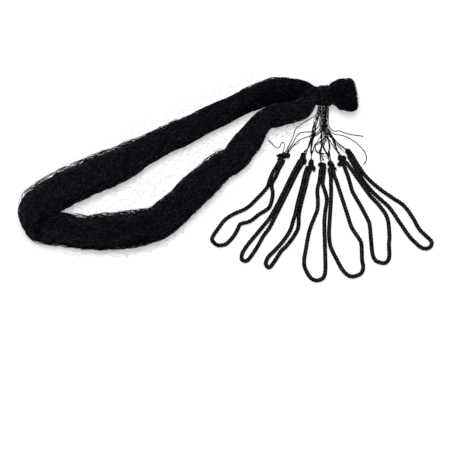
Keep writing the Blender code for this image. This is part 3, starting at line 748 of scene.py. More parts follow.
def knot_turns(at, lobes, heading, rng):
    """Centre lines of the turns of a knot: one to each lobe, and one across them."""
    inside = 0.5 * KNOT_CORD
    lines = []
    for dx, dy, radius in lobes:
        lean = rng.uniform(0.35, 0.8)
        way = heading + rng.normal(0.0, 0.5)
        normal = (math.sin(lean) * math.cos(way), math.sin(lean) * math.sin(way), math.cos(lean))
        lines.append(ring_turn(np.array([at[0] + dx, at[1] + dy, radius]), radius - inside, normal))
    middle = lobes[:, :2].mean(axis=0)
    radius = lobes[:, 2].mean()
    centre = np.array([at[0] + middle[0], at[1] + middle[1], 1.05 * radius])
    tilt = heading + rng.uniform(0.2, 0.5)
    lines.append(ring_turn(centre, radius - 0.8 * inside, (math.cos(tilt), math.sin(tilt), 0.15)))
    return lines


def frayed_end(place, heading, rng):
    """A tuft of short fibres where a cord was cut, and a tone for each."""
    share = np.linspace(0.0, 1.0, 5)[:, None]
    lines = []
    for _ in range(FRAY_FIBRES):
        angle = heading + rng.normal(0.0, 0.32)
        lift = rng.normal(0.0, 0.35)
        reach = rng.uniform(*FRAY_REACH)
        start = np.array(place) + rng.normal(0.0, 0.55, 3)
        way = np.array([math.cos(angle), math.sin(angle), lift])
        lines.append(start + share * reach * way - 0.5 * UP * share ** 2 * lift)
    lines = np.array(lines)
    lines[..., 2] = np.maximum(lines[..., 2], 0.15)
    half = np.linspace(*FRAY_HALF, 5)[None, :]
    return sweep(lines, UP, half, half, 3), rng.uniform(-0.3, 0.3, FRAY_FIBRES)


def level_way(degrees):
    """A level unit vector at so many degrees in plan."""
    return np.array([math.cos(math.radians(degrees)), math.sin(math.radians(degrees)), 0.0])


def collar_legs(at, collar, radius):
    """Three short legs of cord that leave the knot together and spread towards the loop."""
    dx, dy, degrees = collar
    reach = level_way(degrees)
    across = np.array([-reach[1], reach[0], 0.0])
    middle, mouth = np.array([*at, 0.0]), np.array([at[0] + dx, at[1] + dy, 0.0])
    for side in (-1.0, 0.0, 1.0):
        yield np.array([middle + 0.2 * side * across + 0.9 * radius * UP,
                        mouth + 1.2 * side * across + 2.4 * UP,
                        mouth + 2.2 * side * across + (1.6 + 2.4 * abs(side)) * reach + 2.0 * UP])


def make_loop_knot(number, row):
    """One knot: its turns, the collar where the loop comes in, and its frayed cut ends."""
    rng = np.random.default_rng(300 + number)
    at = np.array(row["at"])
    lobes = np.array(row["lobes"])
    ends = lobes[-1, :2] - lobes[0, :2]
    heading = math.atan2(ends[1], ends[0])
    built = []
    for line in knot_turns(at, lobes, heading, rng):
        built += braid(line, KNOT_CORD, rng)
    for leg in collar_legs(at, row["collar"], lobes[:, 2].mean()):
        built += braid(even_line(leg, 0.5), LEG_CORD, rng)
    for dx, dy, degrees, length in row["stubs"]:
        reach = level_way(degrees)
        start = np.array([at[0] + dx, at[1] + dy, STUB_HEIGHT])
        stub = [start + step * reach for step in (-2.0, 0.5 * length, length - 0.9)]
        built += braid(even_line(stub, 0.4), STUB_CORD, rng)
        built.append(frayed_end(stub[-1], math.radians(degrees), rng))
    knot = mesh_from("overhand_knot_%d" % number, built, finish_cord)
    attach(knot, "root")
    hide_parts("loop_knot_%d" % number)
    print(knot.name, len(knot.data.polygons), "faces")


for number, row in enumerate(KNOTS, start=1):
    make_loop_knot(number, row)

# %% [markdown]
# The tie is the shelf strings themselves, wound round the gathered net before they run out
# to the loops.  It is a flat strand of parallel threads, so a row of thin tubes follows one
# helix side by side, each a little off the helix, as hand winding leaves them.

# %% Wind the tie round the neck
NECK_WIDTH = 18.5
NECK_HEIGHT = 16.0
NECK_BASE = 4.0
GAP = 0.3                       # air between neighbouring pieces
WRAP_TURNS = 2.3                # turns of the tie round the neck
WRAP_PITCH = 5.0                # advance of the tie to a turn
WRAP_WIDTH = 4.8                # breadth of the tie's strand
WRAP_THICK = 2.8                # thickness of the tie's strand
WRAP_FILL = (0.90, 0.72)        # share of that breadth and thickness which the threads fill
WRAP_START = np.array([147.2, 80.6, 12.0])   # plan x, plan y and height of the first turn
WRAP_THREADS = 22
WRAP_HALF = (0.30, 0.48)        # half thickness of one of them, least and most


def make_tie():
    """The flat strand of threads, wound round the neck as one helix."""
    rng = np.random.default_rng(41)
    steps = round(WRAP_TURNS * 40)
    turn = np.linspace(0.0, WRAP_TURNS, steps)
    angle = -0.5 * math.pi - math.tau * turn
    radius_y = 0.5 * NECK_WIDTH + GAP + 0.5 * WRAP_THICK
    radius_z = 0.5 * NECK_HEIGHT + GAP + 0.5 * WRAP_THICK
    ring = np.stack([WRAP_PITCH * turn, np.cos(angle) * radius_y, np.sin(angle) * radius_z], axis=1)
    out = unit(np.stack([np.zeros(steps), np.cos(angle) / radius_y, np.sin(angle) / radius_z], axis=1))
    lines, half = [], []
    for index in range(WRAP_THREADS):
        place = (index + 0.5) / WRAP_THREADS * math.tau
        phase = rng.uniform(0.0, math.tau, 2)
        sway = (0.7 * np.sin(turn * 5.0 + phase[0]) + 0.3 * np.sin(turn * 13.0 + phase[1])
                + rng.normal(0.0, 0.6) * (turn - 0.5 * WRAP_TURNS))
        line = WRAP_START + ring
        line[:, 0] += 0.5 * WRAP_WIDTH * WRAP_FILL[0] * math.cos(place) + sway
        raised = 0.5 * WRAP_THICK * WRAP_FILL[1] * math.sin(place) + 0.12 * sway
        lines.append(line + out * raised[:, None])
        half.append([rng.uniform(*WRAP_HALF)])
    tubes = sweep(np.array(lines), out[None, :, :], half, half, 5)
    tones = thread_tones((WRAP_THREADS, steps), rng, -0.22, 0.06)
    tie = mesh_from("wound_tie", [(tubes, tones)], finish_net)
    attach(tie, "root")
    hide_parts("neck_wrap")
    print(tie.name, len(tie.data.polygons), "faces")


make_tie()

# %% [markdown]
# The hank is the whole net drawn together lengthwise, doubled at the left and tied near its
# ends, where it flares into a tuft.  Each limb has a table of sections along its run.  A
# smooth surface through them carries everything that follows: the dark body inside, and
# the thousands of net threads that lie on it.

# %% Section tables of the gathered net
# rows: plan x, plan y, width, height, base above the surface, flat underside (1) or round (0)
UPPER_LIMB = [
    (148, 82.5, 6, 8, 8, 0),
    (141, 85, 10, 13, 5, 0),
    (135, 88, 16, 18, 1.5, 0.5),
    (127, 88.5, 24, 21, 0, 1),
    (116, 87.5, 28, 23, 0, 1),
    (97, 85.5, 31.5, 24, 0, 1),
    (80, 81.5, 29, 22, 0, 1),
    (63.1, 74, 26.3, 20, 0, 1),
    (48.1, 65.5, 27.3, 20, 0, 1),
    (30.6, 56.5, 28.8, 20, 0, 1),
    (11.6, 46, 29.8, 20, 0, 1),
    (-8.9, 34.5, 30.3, 20, 0, 1),
    (-30.9, 23, 30.3, 20, 0, 1),
    (-54.4, 9, 32.8, 21, 0, 1),
    (-73.4, -2.5, 39.8, 24, 0, 1),
    (-96.9, -13.5, 41.8, 27, 0, 1),
    (-116.4, -23, 40.8, 28, 0, 1),
    (-132.9, -31.5, 41.3, 28, 0, 1),
    (-149, -41.5, 40.5, 28, 0, 1),
    (-161.5, -52.5, 39.5, 28, 0, 1),
    (-169.5, -63.5, 33, 27, 0, 1),
    (-172, -75, 21.5, 24, 1, 1),
    (-173, -82, 11.5, 15, 4, 1),
]
LOWER_LIMB = [
    (-177, -78, 14.5, 12, 3, 1),
    (-171, -78, 24, 18, 1, 1),
    (-157, -80, 34, 23, 0, 1),
    (-140, -80.5, 36.5, 25, 0, 1),
    (-126, -84, 33, 25, 0, 1),
    (-111, -86, 34, 24, 0, 1),
    (-95, -85, 37, 26, 0, 1),
    (-73, -83.5, 39.5, 27, 0, 1),
    (-52, -81, 38.5, 27, 0, 1),
    (-30.3, -72.8, 37.3, 26, 0, 1),
    (-10.8, -54.8, 35.8, 26, 0, 1),
    (5.2, -37.8, 36.3, 25, 0, 1),
    (21.2, -20.8, 35.3, 24, 0, 1),
    (35.2, -6.8, 31.8, 23, 0, 1),
    (50, 2, 30, 22, 0, 1),
    (59, 15, 31, 22, 0, 1),
    (68.5, 27.5, 29.5, 22, 0, 1),
    (76.5, 41.5, 25.5, 21, 0, 1),
    (86.5, 52.5, 23.5, 21, 0, 1),
    (100, 57.5, 26.5, 21, 0, 1),
    (116, 61.5, 24, 20, 0, 1),
    (130.5, 67, 22, 19, 0.5, 1),
    (139, 74, 12, 16, 4, 0.5),
    (148, 79, 6, 8, 8, 0),
]
NECK_AND_TUFT = [
    (122, 79.5, 8, 10, 5, 0),
    (132, 80, 15, 15, 4, 0),
    (142, 80.6, NECK_WIDTH, NECK_HEIGHT, NECK_BASE, 0),
    (152, 80.6, NECK_WIDTH, NECK_HEIGHT, NECK_BASE, 0),
    (160.8, 80.8, NECK_WIDTH, NECK_HEIGHT, NECK_BASE, 0),
    (163.2, 81.6, 25, 20, 2, 0.4),
    (167.2, 82.5, 30.5, 23.5, 0.5, 0.8),
    (172.2, 82.5, 35, 27, 0, 1),
    (178, 81.7, 37, 29, 0, 1),
    (183.2, 81.4, 37, 29, 0, 1),
    (186.6, 81.7, 35, 27.5, 0.3, 1),
    (188.6, 82, 30, 23.5, 1.8, 1),
]
FOLDS = 6                     # gathered folds round the bundle
FOLD_DEPTH = 0.085            # depth of a fold, as a share of the half width
FOLD_TURN = 0.013             # turn of the folds, radians to a millimetre of run
SETTLE = 0.16                 # share of the half height that lies flat on the surface
# the crease at the left bend, where one limb folds over the other: plan points
BEND_CREASE = [(-137, -64), (-146, -68.3), (-153.4, -73), (-157.5, -77.1), (-159.9, -83),
               (-161.8, -88.8), (-162.6, -92)]
CREASE_HALF = 5.0             # half width of the crease
CREASE_DEPTH = 2.6            # how far the net sinks in it
CREASE_SHADE = -0.55           # painted shade: how much darker the net is painted in it

# %% [markdown]
# The surface is a grid of stations along the run and places round the bundle.  Each station
# is an oval that settles flat where it lies on the table.  Folds, creases and lumps then
# push it in and out, slack edges draw the skin back under the loose threads, and the bend
# gets the crease where one limb folds over the other.

# %% Surface of a bundle
STATION_STEP = 1.6              # stations along the run
STATION_ANGLES = 192            # places round the bundle
CREASE_WAVES = (9, 13, 17, 22, 28, 35, 43, 52)   # creases round the bundle, coarse to fine
LUMPS = 26                      # waves that make the lumps
LUMP_SIZE = 0.0065              # share of the half width that one lump adds or takes


class BundleSurface:
    """The skin of a gathered bundle, read by its run in millimetres and its angle."""

    def __init__(self, rows, fold_depth, fine, seed, shades, toned_side_angle, slack_edges=()):
        self.shade_run, self.shade_tight, self.shade_one_side = zip(*shades)
        self.toned_side_angle = toned_side_angle
        table = smooth_line(rows, 14)
        run = line_run(table[:, :2])
        self.length = float(run[-1])
        self.count = max(6, round(self.length / STATION_STEP)) + 1
        self.run = np.linspace(0.0, self.length, self.count)[:, None]
        self.angle = np.arange(STATION_ANGLES)[None, :] * math.tau / STATION_ANGLES
        table = np.stack([np.interp(self.run[:, 0], run, column) for column in table.T], axis=1)
        x, y, width, height, base, flat = [column[:, None] for column in table.T]
        base = np.maximum(base, 0.0)
        middle = base + height * (0.5 - 0.5 * SETTLE * flat)
        upper = base + height - middle
        lower = middle - base + height * SETTLE * 0.6 * flat
        fold = 1.0 - fold_depth * (0.5 + 0.5 * np.cos(FOLDS * self.angle + FOLD_TURN * self.run))
        fold = fold * self.creases(fine, seed) * self.lumps(seed)
        fold = fold - self.drawn_back(slack_edges) / (0.5 * width)
        across = 0.5 * width * np.cos(self.angle) * fold
        rise = np.where(np.sin(self.angle) > 0, upper, lower) * np.sin(self.angle) * fold
        height_of_skin = np.maximum(middle + rise, base)
        heading = unit(np.gradient(table[:, :2], axis=0))
        self.points = np.stack([x - heading[:, 1:] * across, y + heading[:, :1] * across,
                                height_of_skin], axis=2)
        self.press_crease()
        along = np.gradient(self.points, axis=0)
        around = np.roll(self.points, -1, axis=1) - np.roll(self.points, 1, axis=1)
        self.normals = unit(np.cross(around, along))

    def creases(self, fine, seed):
        """Long gathered creases that run with the bundle and slowly turn round it."""
        rng = np.random.default_rng(seed)
        total = np.zeros((self.count, STATION_ANGLES))
        for waves in CREASE_WAVES:
            start, swell = rng.uniform(0.0, math.tau), rng.uniform(0.0, math.tau)
            turn = FOLD_TURN * waves / FOLDS + rng.normal(0.0, 0.05)
            size = rng.uniform(0.7, 1.2) / waves ** 0.75
            total += size * (0.6 + 0.4 * np.sin(self.run / rng.uniform(22.0, 60.0) + swell)) * np.cos(
                waves * self.angle + start + turn * self.run)
        return 1.0 + fine * np.where(total > 0.0, 0.6 * np.tanh(total / 0.6), total)

    def lumps(self, seed):
        """Soft uneven lumps, where the gathered net bulges and sinks."""
        rng = np.random.default_rng(seed + 900)
        total = np.zeros((self.count, STATION_ANGLES))
        for _ in range(LUMPS):
            wave = math.tau / rng.uniform(13.0, 48.0)
            total += np.sin(wave * self.run + rng.uniform(0.0, math.tau)) * np.cos(
                rng.integers(1, 5) * self.angle + rng.uniform(0.0, math.tau))
        return 1.0 + LUMP_SIZE * total

    def drawn_back(self, slack_edges):
        """How far the skin is drawn back under the loose threads of the slack edges."""
        share = self.run / self.length
        total = np.zeros((self.count, STATION_ANGLES))
        for first, last, edge_angle, depth in slack_edges:
            ends = np.clip(np.minimum(share - first, last - share) / 0.04, 0.0, 1.0)
            near = np.clip(np.cos(self.angle - edge_angle), 0.0, 1.0) ** 2
            total += depth * near * ends * ends * (3.0 - 2.0 * ends)
        return total

    def press_crease(self):
        """Sink the upper side where the crease of the bend crosses it."""
        away = distance_to_line(self.points.reshape(-1, 3), BEND_CREASE)
        away = away.reshape(self.count, STATION_ANGLES)
        self.crease = np.clip(1.0 - away / CREASE_HALF, 0.0, 1.0) ** 1.3
        self.points[..., 2] -= CREASE_DEPTH * self.crease * np.clip(2.0 * np.sin(self.angle), 0.0, 1.0)

    def shade(self, run, angle):
        """Tone offsets of the net, with painted shade: a tone along the run and on one side, darker at
        the sides and in the bend's crease.
        """
        tight = np.interp(run / self.length, self.shade_run, self.shade_tight)
        one_side_tone = np.interp(run / self.length, self.shade_run, self.shade_one_side)
        # painted shade: the bundle's sides are darker
        sides = -0.10 * np.cos(angle) ** 6
        row = np.round(np.clip(run / self.length, 0.0, 1.0) * (self.count - 1)).astype(int)
        column = np.round(angle / math.tau * STATION_ANGLES).astype(int) % STATION_ANGLES
        return (tight + sides + CREASE_SHADE * self.crease[row, column]
                + one_side_tone * (0.5 + 0.5 * np.cos(angle - self.toned_side_angle)) ** 2)

    def read(self, run, angle, lift):
        """Points on the bundle at arrays of run and angle, lifted off its skin."""
        place = np.clip(run / self.length, 0.0, 1.0) * (self.count - 1)
        row = np.minimum(place.astype(int), self.count - 2)
        part = (place - row)[..., None]
        turn = (angle % math.tau) / math.tau * STATION_ANGLES
        column = turn.astype(int) % STATION_ANGLES
        share = (turn - np.floor(turn))[..., None]
        after = (column + 1) % STATION_ANGLES

        def blend(grid):
            return ((1 - part) * ((1 - share) * grid[row, column] + share * grid[row, after])
                    + part * ((1 - share) * grid[row + 1, column] + share * grid[row + 1, after]))

        normal = unit(blend(self.normals))
        return blend(self.points) + normal * np.asarray(lift)[..., None], normal


# rows of the painted shades: share of the run, tone all round, and tone on one side, which is painted
# shade on the upper limb's inner side near the neck
UPPER_SHADES = [(0.0, -0.12, -0.28), (0.18, -0.06, -0.28), (0.32, 0.00, -0.04), (0.80, 0.08, 0.05),
                (1.0, 0.05, 0.05)]
LOWER_SHADES = [(0.0, -0.20, 0.30), (0.08, -0.06, 0.22), (0.2, 0.0, 0.08), (0.5, 0.04, 0.0),
                (1.0, 0.0, 0.0)]
TUFT_SHADES = [(0.0, -0.14, 0.0), (0.6, -0.16, 0.0), (1.0, -0.12, 0.0)]
# rows of the slack edges: from and to as shares of the run, angle, depth in millimetres
UPPER_SLACK = [(0.60, 0.93, math.pi - 0.2, 2.7)]
LOWER_SLACK = [(0.15, 0.36, 0.2, 1.8), (0.54, 0.66, 0.2, 1.8)]
upper_limb = BundleSurface(UPPER_LIMB, FOLD_DEPTH, 0.035, 61, UPPER_SHADES, 0.0, UPPER_SLACK)
lower_limb = BundleSurface(LOWER_LIMB, FOLD_DEPTH, 0.035, 62, LOWER_SHADES, math.pi, LOWER_SLACK)
neck_tuft = BundleSurface(NECK_AND_TUFT, 0.0, 0.06, 63, TUFT_SHADES, 0.0)
BUNDLES = {"upper_limb": upper_limb, "lower_limb": lower_limb, "neck_tuft": neck_tuft}
for name, surface in BUNDLES.items():
    print(name, round(surface.length), "mm long")

# %% [markdown]
# The dark body under the threads starts as a cylinder whose long edges are subdivided into
# rings, as by hand.  Then each corner of it moves to the bundle's skin at the same share of
# the run and the same angle.  The body is drawn in by a little, so that threads lie on it,
# and it is painted darker than the threads, as painted shade of the depth between them.
# A subdivided cylinder keeps the ends closed.

# %% Make the dark body
BODY_SINK = 0.7                 # how far the body lies under the threads
BODY_SIDES = 72
BODY_CUTS = (9, 9)              # long edges are cut twice, by 9 each time


def select_none():
    bpy.ops.object.select_all(action="DESELECT")


def ringed_cylinder(name):
    """A closed cylinder one unit long, with its long edges cut into rings."""
    select_none()
    bpy.ops.mesh.primitive_cylinder_add(vertices=BODY_SIDES, radius=0.1, depth=1.0,
                                        end_fill_type="TRIFAN", location=(0.0, 0.0, 0.5))
    body = bpy.context.object
    bpy.ops.object.transform_apply(location=True)
    body.name = name
    body.data.name = name
    for cuts in BODY_CUTS:
        bpy.ops.object.mode_set(mode="EDIT")
        bpy.ops.mesh.select_mode(type="EDGE")
        bpy.ops.mesh.select_all(action="DESELECT")
        bpy.ops.object.mode_set(mode="OBJECT")
        for edge in body.data.edges:
            first, second = (body.data.vertices[i].co for i in edge.vertices)
            edge.select = abs(first.z - second.z) > 1e-4
        bpy.ops.object.mode_set(mode="EDIT")
        bpy.ops.mesh.subdivide(number_cuts=cuts)
        bpy.ops.object.mode_set(mode="OBJECT")
    return body


def make_body(name, surface):
    """The dark body of one bundle, a little inside its skin, painted dark as the shade between the
    threads.
    """
    body = ringed_cylinder(name)
    corners = np.empty(len(body.data.vertices) * 3)
    body.data.vertices.foreach_get("co", corners)
    corners = corners.reshape(-1, 3)
    run = corners[:, 2] * surface.length
    angle = np.arctan2(corners[:, 1], corners[:, 0])
    points, _ = surface.read(run, angle, np.full(len(run), -BODY_SINK))
    middle = np.hypot(corners[:, 0], corners[:, 1]) < 1e-4
    for at_end in (run < 1e-3, run > surface.length - 1e-3):
        points[at_end & middle] = points[at_end & ~middle].mean(axis=0)
    points[:, 2] = np.maximum(points[:, 2], 0.1)
    body.data.vertices.foreach_set("co", metres_array(points).ravel())
    bpy.ops.object.mode_set(mode="EDIT")
    bpy.ops.mesh.select_all(action="SELECT")
    bpy.ops.mesh.normals_make_consistent(inside=False)
    bpy.ops.object.mode_set(mode="OBJECT")
    bpy.ops.object.shade_smooth()
    body.data.materials.append(finish_body_shade)
    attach(body, "root")
    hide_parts("net_hank")
    print(name, len(body.data.polygons), "faces")


for name, surface in BUNDLES.items():
    make_body(name + "_body", surface)

# %% [markdown]
# The net is a lattice of diamond cells.  Gathered by hand, its cells are half closed and
# pushed about, so the bundle looks like dark wool with crossing threads all over it.  Each
# layer here is that lattice wrapped round the bundle: its knots are moved off their places
# at random, and the threads run straight from knot to knot, as pulled threads do.  Several
# layers at different heights and slants cross each other, over threads drawn lengthwise.

# %% Net threads along a bundle
CELL = 5.5                      # run of one gathered cell
RUN_SCATTER = 0.20              # how far a knot is off its place, as a share of the cell
TURN_SCATTER = 0.22             # and of the angle between two lanes
LANE_SWAY = 0.14                # how far the lanes sway round the bundle, in radians
CELL_SWAY = 1.4                 # and how far the cells sway along it


def lattice_layer(surface, lanes, cell, slant, rng, low, high, half, tone, glint_share):
    """Tubes of one layer of the diamond lattice on a bundle, and their tones."""
    rows = max(4, round(surface.length / (0.5 * cell))) + 1
    shape = (rows, lanes + 1)
    lane = np.arange(lanes + 1)[None, :]
    row = np.arange(rows)[:, None]
    turn = math.tau / lanes
    run = row * surface.length / (rows - 1) + rng.normal(0.0, RUN_SCATTER * cell, shape)
    angle = (lane + 0.5 * (row % 2)) * turn + rng.normal(0.0, TURN_SCATTER * turn, shape)
    for waves in (1, 2, 3, 4):
        phase = rng.uniform(0.0, math.tau, 2)
        sway = np.sin(waves * lane * turn + phase[0]) * np.sin(run / rng.uniform(9.0, 30.0) + phase[1])
        angle = angle + LANE_SWAY / waves * sway
        run = run + CELL_SWAY / waves * np.roll(sway, 1, axis=1)
    height = low + (high - low) * rng.uniform(0.0, 1.0, shape) ** 2.0
    run[:, -1], height[:, -1] = run[:, 0], height[:, 0]
    angle[:, -1] = angle[:, 0] + math.tau
    angle = angle + slant * run
    # two threads zigzag from each lane: to the knots of its own side, and of the side before
    odd = row[:, 0] % 2
    column = np.array([first + odd * step for first in range(lanes) for step in (0, -1)])
    wrap = np.where(column < 0, -math.tau, 0.0)
    knots = (row[:, 0], column % lanes)
    run, angle, height = run[knots], angle[knots] + wrap, height[knots]
    lines, normals = surface.read(np.clip(run, 0.0, surface.length), angle, height)
    lines[..., 2] = np.maximum(lines[..., 2], half)
    tones = thread_tones(lines.shape[:2], rng, tone, glint_share) + surface.shade(run, angle)
    return sweep(lines, normals, half, half, 3), tones


def drawn_layer(surface, threads, rng, lift, half):
    """Tubes of threads drawn out along a bundle, and their tones."""
    run = np.linspace(0.0, surface.length, max(5, round(surface.length / 3.4)))
    run = np.broadcast_to(run, (threads, len(run)))

    def each(low, high):
        return rng.uniform(low, high, (threads, 1))

    angle = each(0.0, math.tau) + rng.normal(0.003, 0.006, (threads, 1)) * run
    for size, low, high in ((0.16, 18.0, 40.0), (0.07, 6.0, 14.0)):   # a slow sway, then a quick one
        angle = angle + size * np.sin(run / each(low, high) + each(0.0, math.tau))
    height = lift * (0.5 + 0.5 * np.sin(run / each(6.0, 20.0) + each(0.0, math.tau)))
    lines, normals = surface.read(run, angle, height)
    lines[..., 2] = np.maximum(lines[..., 2], half)
    return sweep(lines, normals, half, half, 3), thread_tones(lines.shape[:2], rng, -0.25)


def dress_net(name, built):
    """One piece of net threads, from pairs of a sweep and its tones."""
    net = mesh_from(name, built, finish_net)
    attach(net, "root")
    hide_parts("net_hank")
    print(name, len(net.data.polygons), "faces")


# rows: more lanes, cell size, slant, lowest, highest, half thickness, tone, share of threads with
# painted glints
NET_LAYERS = [
    (0, 1.0, 0.000, 0.0, 0.4, 0.16, -0.20, 0.10),
    (2, 0.9, -0.021, 0.1, 0.6, 0.16, -0.20, 0.12),
    (-1, 1.1, 0.019, 0.2, 0.8, 0.16, -0.15, 0.14),
    (3, 0.78, -0.011, 0.4, 1.0, 0.19, -0.10, 0.27),
    (-1, 0.88, 0.008, 0.5, 1.1, 0.19, -0.10, 0.33),
]
NET_LANES = 19                  # lattice lanes round a bundle
DRAWN_THREADS = {"upper_limb": 14, "lower_limb": 14, "neck_tuft": 20}
DRAWN_LIFT = 0.4                # how high a drawn thread rises off the skin
DRAWN_HALF = 0.15               # and its half thickness


def make_net(name, surface, drawn, seed):
    """Every net thread that lies along one bundle."""
    rng = np.random.default_rng(seed)
    built = [drawn_layer(surface, drawn, rng, DRAWN_LIFT, DRAWN_HALF)]
    for more, cell, slant, *look in NET_LAYERS:
        built.append(lattice_layer(surface, NET_LANES + more, cell * CELL, slant, rng, *look))
    dress_net(name, built)


for seed, (name, surface) in enumerate(BUNDLES.items(), start=71):
    make_net(name + "_net", surface, DRAWN_THREADS[name], seed)

# %% [markdown]
# No gathered net has a clean outline.  Slack cells stand off the bundle as low arches, and
# most of them show along its edges.  Each one is a short thread that leaves the skin,
# rises a few millimetres and comes back to it.

# %% Slack threads that stand off the bundle
LONE_HALF = (0.11, 0.17)        # half thickness of a thread that stands off alone
PAIR_HALF = (0.14, 0.22)        # and of one in a strand


def slack_threads(surface, count, reach, rise, strand, zone, rng):
    """Low arches of thread over a bundle, each one a strand of a few threads.

    zone is (run from, run to, angle, angle spread), the runs as shares of the length.
    """
    share = np.linspace(0.0, 1.0, 9)[None, :]
    low, high, at, spread = zone
    threads = count * strand

    def whole(values):
        """One value a strand, given to each of its threads."""
        return np.repeat(values, strand, axis=0)

    def each(first, last):
        return rng.uniform(first, last, (threads, 1))

    def scatter(size):
        return rng.normal(0.0, size, (threads, 1))

    run = whole(rng.uniform(low, high, (count, 1))) * surface.length
    angle = at + spread * whole(rng.normal(0.0, 1.0, (count, 1)))
    length = whole(rng.uniform(*reach, (count, 1)))
    peak = rise * whole(rng.uniform(0.2 if strand == 1 else 0.45, 1.0, (count, 1)))
    lean = whole(rng.uniform(0.6, 1.6, (count, 1)))
    length = length * each(0.8, 1.1)
    runs = np.clip(run + scatter(0.9) + (share - 0.5) * length, 0.0, surface.length)
    angles = angle + scatter(0.03) + scatter(0.16) * (share - 0.5)
    angles = angles + 0.05 * np.sin(share * math.tau * each(0.5, 1.6) + each(0.0, math.tau))
    height = peak * each(0.75, 1.1) * np.sin(share ** lean * math.pi) ** 0.8 + 0.1
    lines, normals = surface.read(runs, angles, height)
    lines[..., 2] = np.maximum(lines[..., 2], 0.12)
    half = each(*LONE_HALF) if strand == 1 else each(*PAIR_HALF)
    return sweep(lines, normals, half, half, 3), thread_tones(lines.shape[:2], rng, -0.3, 0.05)


HALF_TURN = math.pi
ALL_ROUND = (0.02, 0.98, 0.0, 4.0)
# rows: bundle, strands, reach from and to, rise, threads in a strand, zone
SLACK_ROWS = [
    (upper_limb, 320, (7.0, 20.0), 1.3, 1, ALL_ROUND),
    (lower_limb, 320, (7.0, 20.0), 1.3, 1, ALL_ROUND),
    (neck_tuft, 90, (5.0, 14.0), 0.8, 1, ALL_ROUND),
    (upper_limb, 80, (13.0, 28.0), 5.4, 2, (0.60, 0.93, HALF_TURN - 0.30, 0.12)),
    (upper_limb, 34, (12.0, 26.0), 3.8, 2, (0.44, 0.62, HALF_TURN - 0.30, 0.12)),
    (upper_limb, 56, (10.0, 26.0), 2.2, 2, (0.08, 0.56, HALF_TURN - 0.36, 0.14)),
    (upper_limb, 40, (9.0, 22.0), 1.5, 2, (0.10, 0.90, -0.25, 0.16)),
    (upper_limb, 44, (10.0, 22.0), 2.2, 2, (0.70, 0.92, -0.40, 0.12)),
    (lower_limb, 66, (12.0, 26.0), 4.8, 2, (0.14, 0.37, 0.34, 0.13)),
    (lower_limb, 16, (14.0, 24.0), 4.6, 2, (0.56, 0.64, 0.36, 0.12)),
    (lower_limb, 70, (10.0, 26.0), 2.6, 2, (0.03, 0.30, HALF_TURN + 0.25, 0.16)),
    (lower_limb, 45, (10.0, 26.0), 1.9, 2, (0.30, 0.95, HALF_TURN + 0.25, 0.16)),
    (neck_tuft, 40, (8.0, 18.0), 4.0, 1, (0.14, 0.62, 0.0, 4.0)),
]
slack_rng = np.random.default_rng(81)
dress_net("slack_net_threads", [slack_threads(*row, slack_rng) for row in SLACK_ROWS])

# %% [markdown]
# Where the net is not gathered tight, a thin loose layer of open cells lies on the surface
# round the hank.  It is the same lattice laid flat, with hair-thin threads that curl from
# knot to knot, and it is cut off where the loose net ends.

# %% Loose open net on the surface
OPEN_CELL = 11.0                # run of one open cell
DENSE_CELL = 5.5                # and of one where the net is bunched against the bundle
OPEN_THREAD = 0.15              # thickness of a net thread that lies alone
STRAY_HALF = 0.12               # half thickness of the threads that lie behind the neck
CURL = 0.40                     # how far a thread curls off its way
SHORTEST = 5                    # points in the shortest stretch that is kept
# rows: plan points, and the half width of the loose net round their line
OPEN_PLACES = [
    ([(-112, -58), (-80, -44), (-45, -26), (-15, -3), (15, 20), (45, 42), (70, 62)], 17.0),
    ([(-66, 39), (-36, 54), (-7, 67), (23, 84), (52, 98), (72, 103)], 9.5),
    ([(72, 99), (95, 105), (120, 104), (136, 99)], 4.5),
    ([(-140, 2), (-110, 14), (-80, 26), (-64, 32)], 4.0),
    ([(66, 2), (78, 18), (90, 32), (106, 42), (118, 46)], 8.5),
    ([(-130, -106), (-95, -108), (-50, -104), (-15, -86), (15, -58), (42, -24), (62, 2)], 4.5),
]
DENSE_PLACES = [
    ([(82.6, 33.2), (97.3, 39.4), (114.3, 43.2), (131.5, 53.2)], 9.0),
    ([(-130.4, -52.3), (-141.1, -59.5), (-149.8, -63.1)], 6.5),
]
STRAYS = [
    [(136.7, 109.9), (140.6, 106), (145.1, 103.4), (150.7, 99.6)],
    [(142.4, 109.9), (146.3, 107.3), (150.9, 104.1), (155.3, 99.6)],
    [(136, 106.6), (138.8, 104.1), (141.7, 102.8), (146.1, 98.3)],
    [(168, 102.8), (169.9, 107.9), (171.1, 111.8), (170.6, 115)],
]


def open_knots(cell, degrees, rng):
    """Knots of an open lattice over the whole table, by row and lane."""
    rows = np.arange(-210.0, 190.0, 0.5 * cell)
    lanes = np.arange(-130.0, 130.0, 0.8 * cell)
    tilt = math.radians(degrees)
    x, y = np.meshgrid(rows, lanes, indexing="ij")
    odd = (np.arange(len(rows)) % 2)[:, None]
    y = y + 0.4 * cell * odd + rng.normal(0.0, 0.17 * cell, y.shape)
    x = x + rng.normal(0.0, 0.17 * cell, x.shape)
    x = x + 4.0 * np.sin(y / 17.0) + 2.5 * np.sin(x / 13.0 + 1.3)
    return np.stack([x * math.cos(tilt) - y * math.sin(tilt),
                     x * math.sin(tilt) + y * math.cos(tilt), np.zeros_like(x)], axis=2)


def stretches_inside(points, lane, places):
    """First and last point of each stretch of a thread that lies in the loose net."""
    inside = np.zeros(len(points), dtype=bool)
    for line, half in places:
        ragged = half * (1.0 + 0.3 * np.sin(points[:, 0] / 6.0 + lane))
        inside |= distance_to_line(points, line) < ragged
    edges = np.flatnonzero(np.diff(np.concatenate([[0], inside.astype(int), [0]])))
    return [(first, last) for first, last in zip(edges[::2], edges[1::2]) if last - first >= SHORTEST]


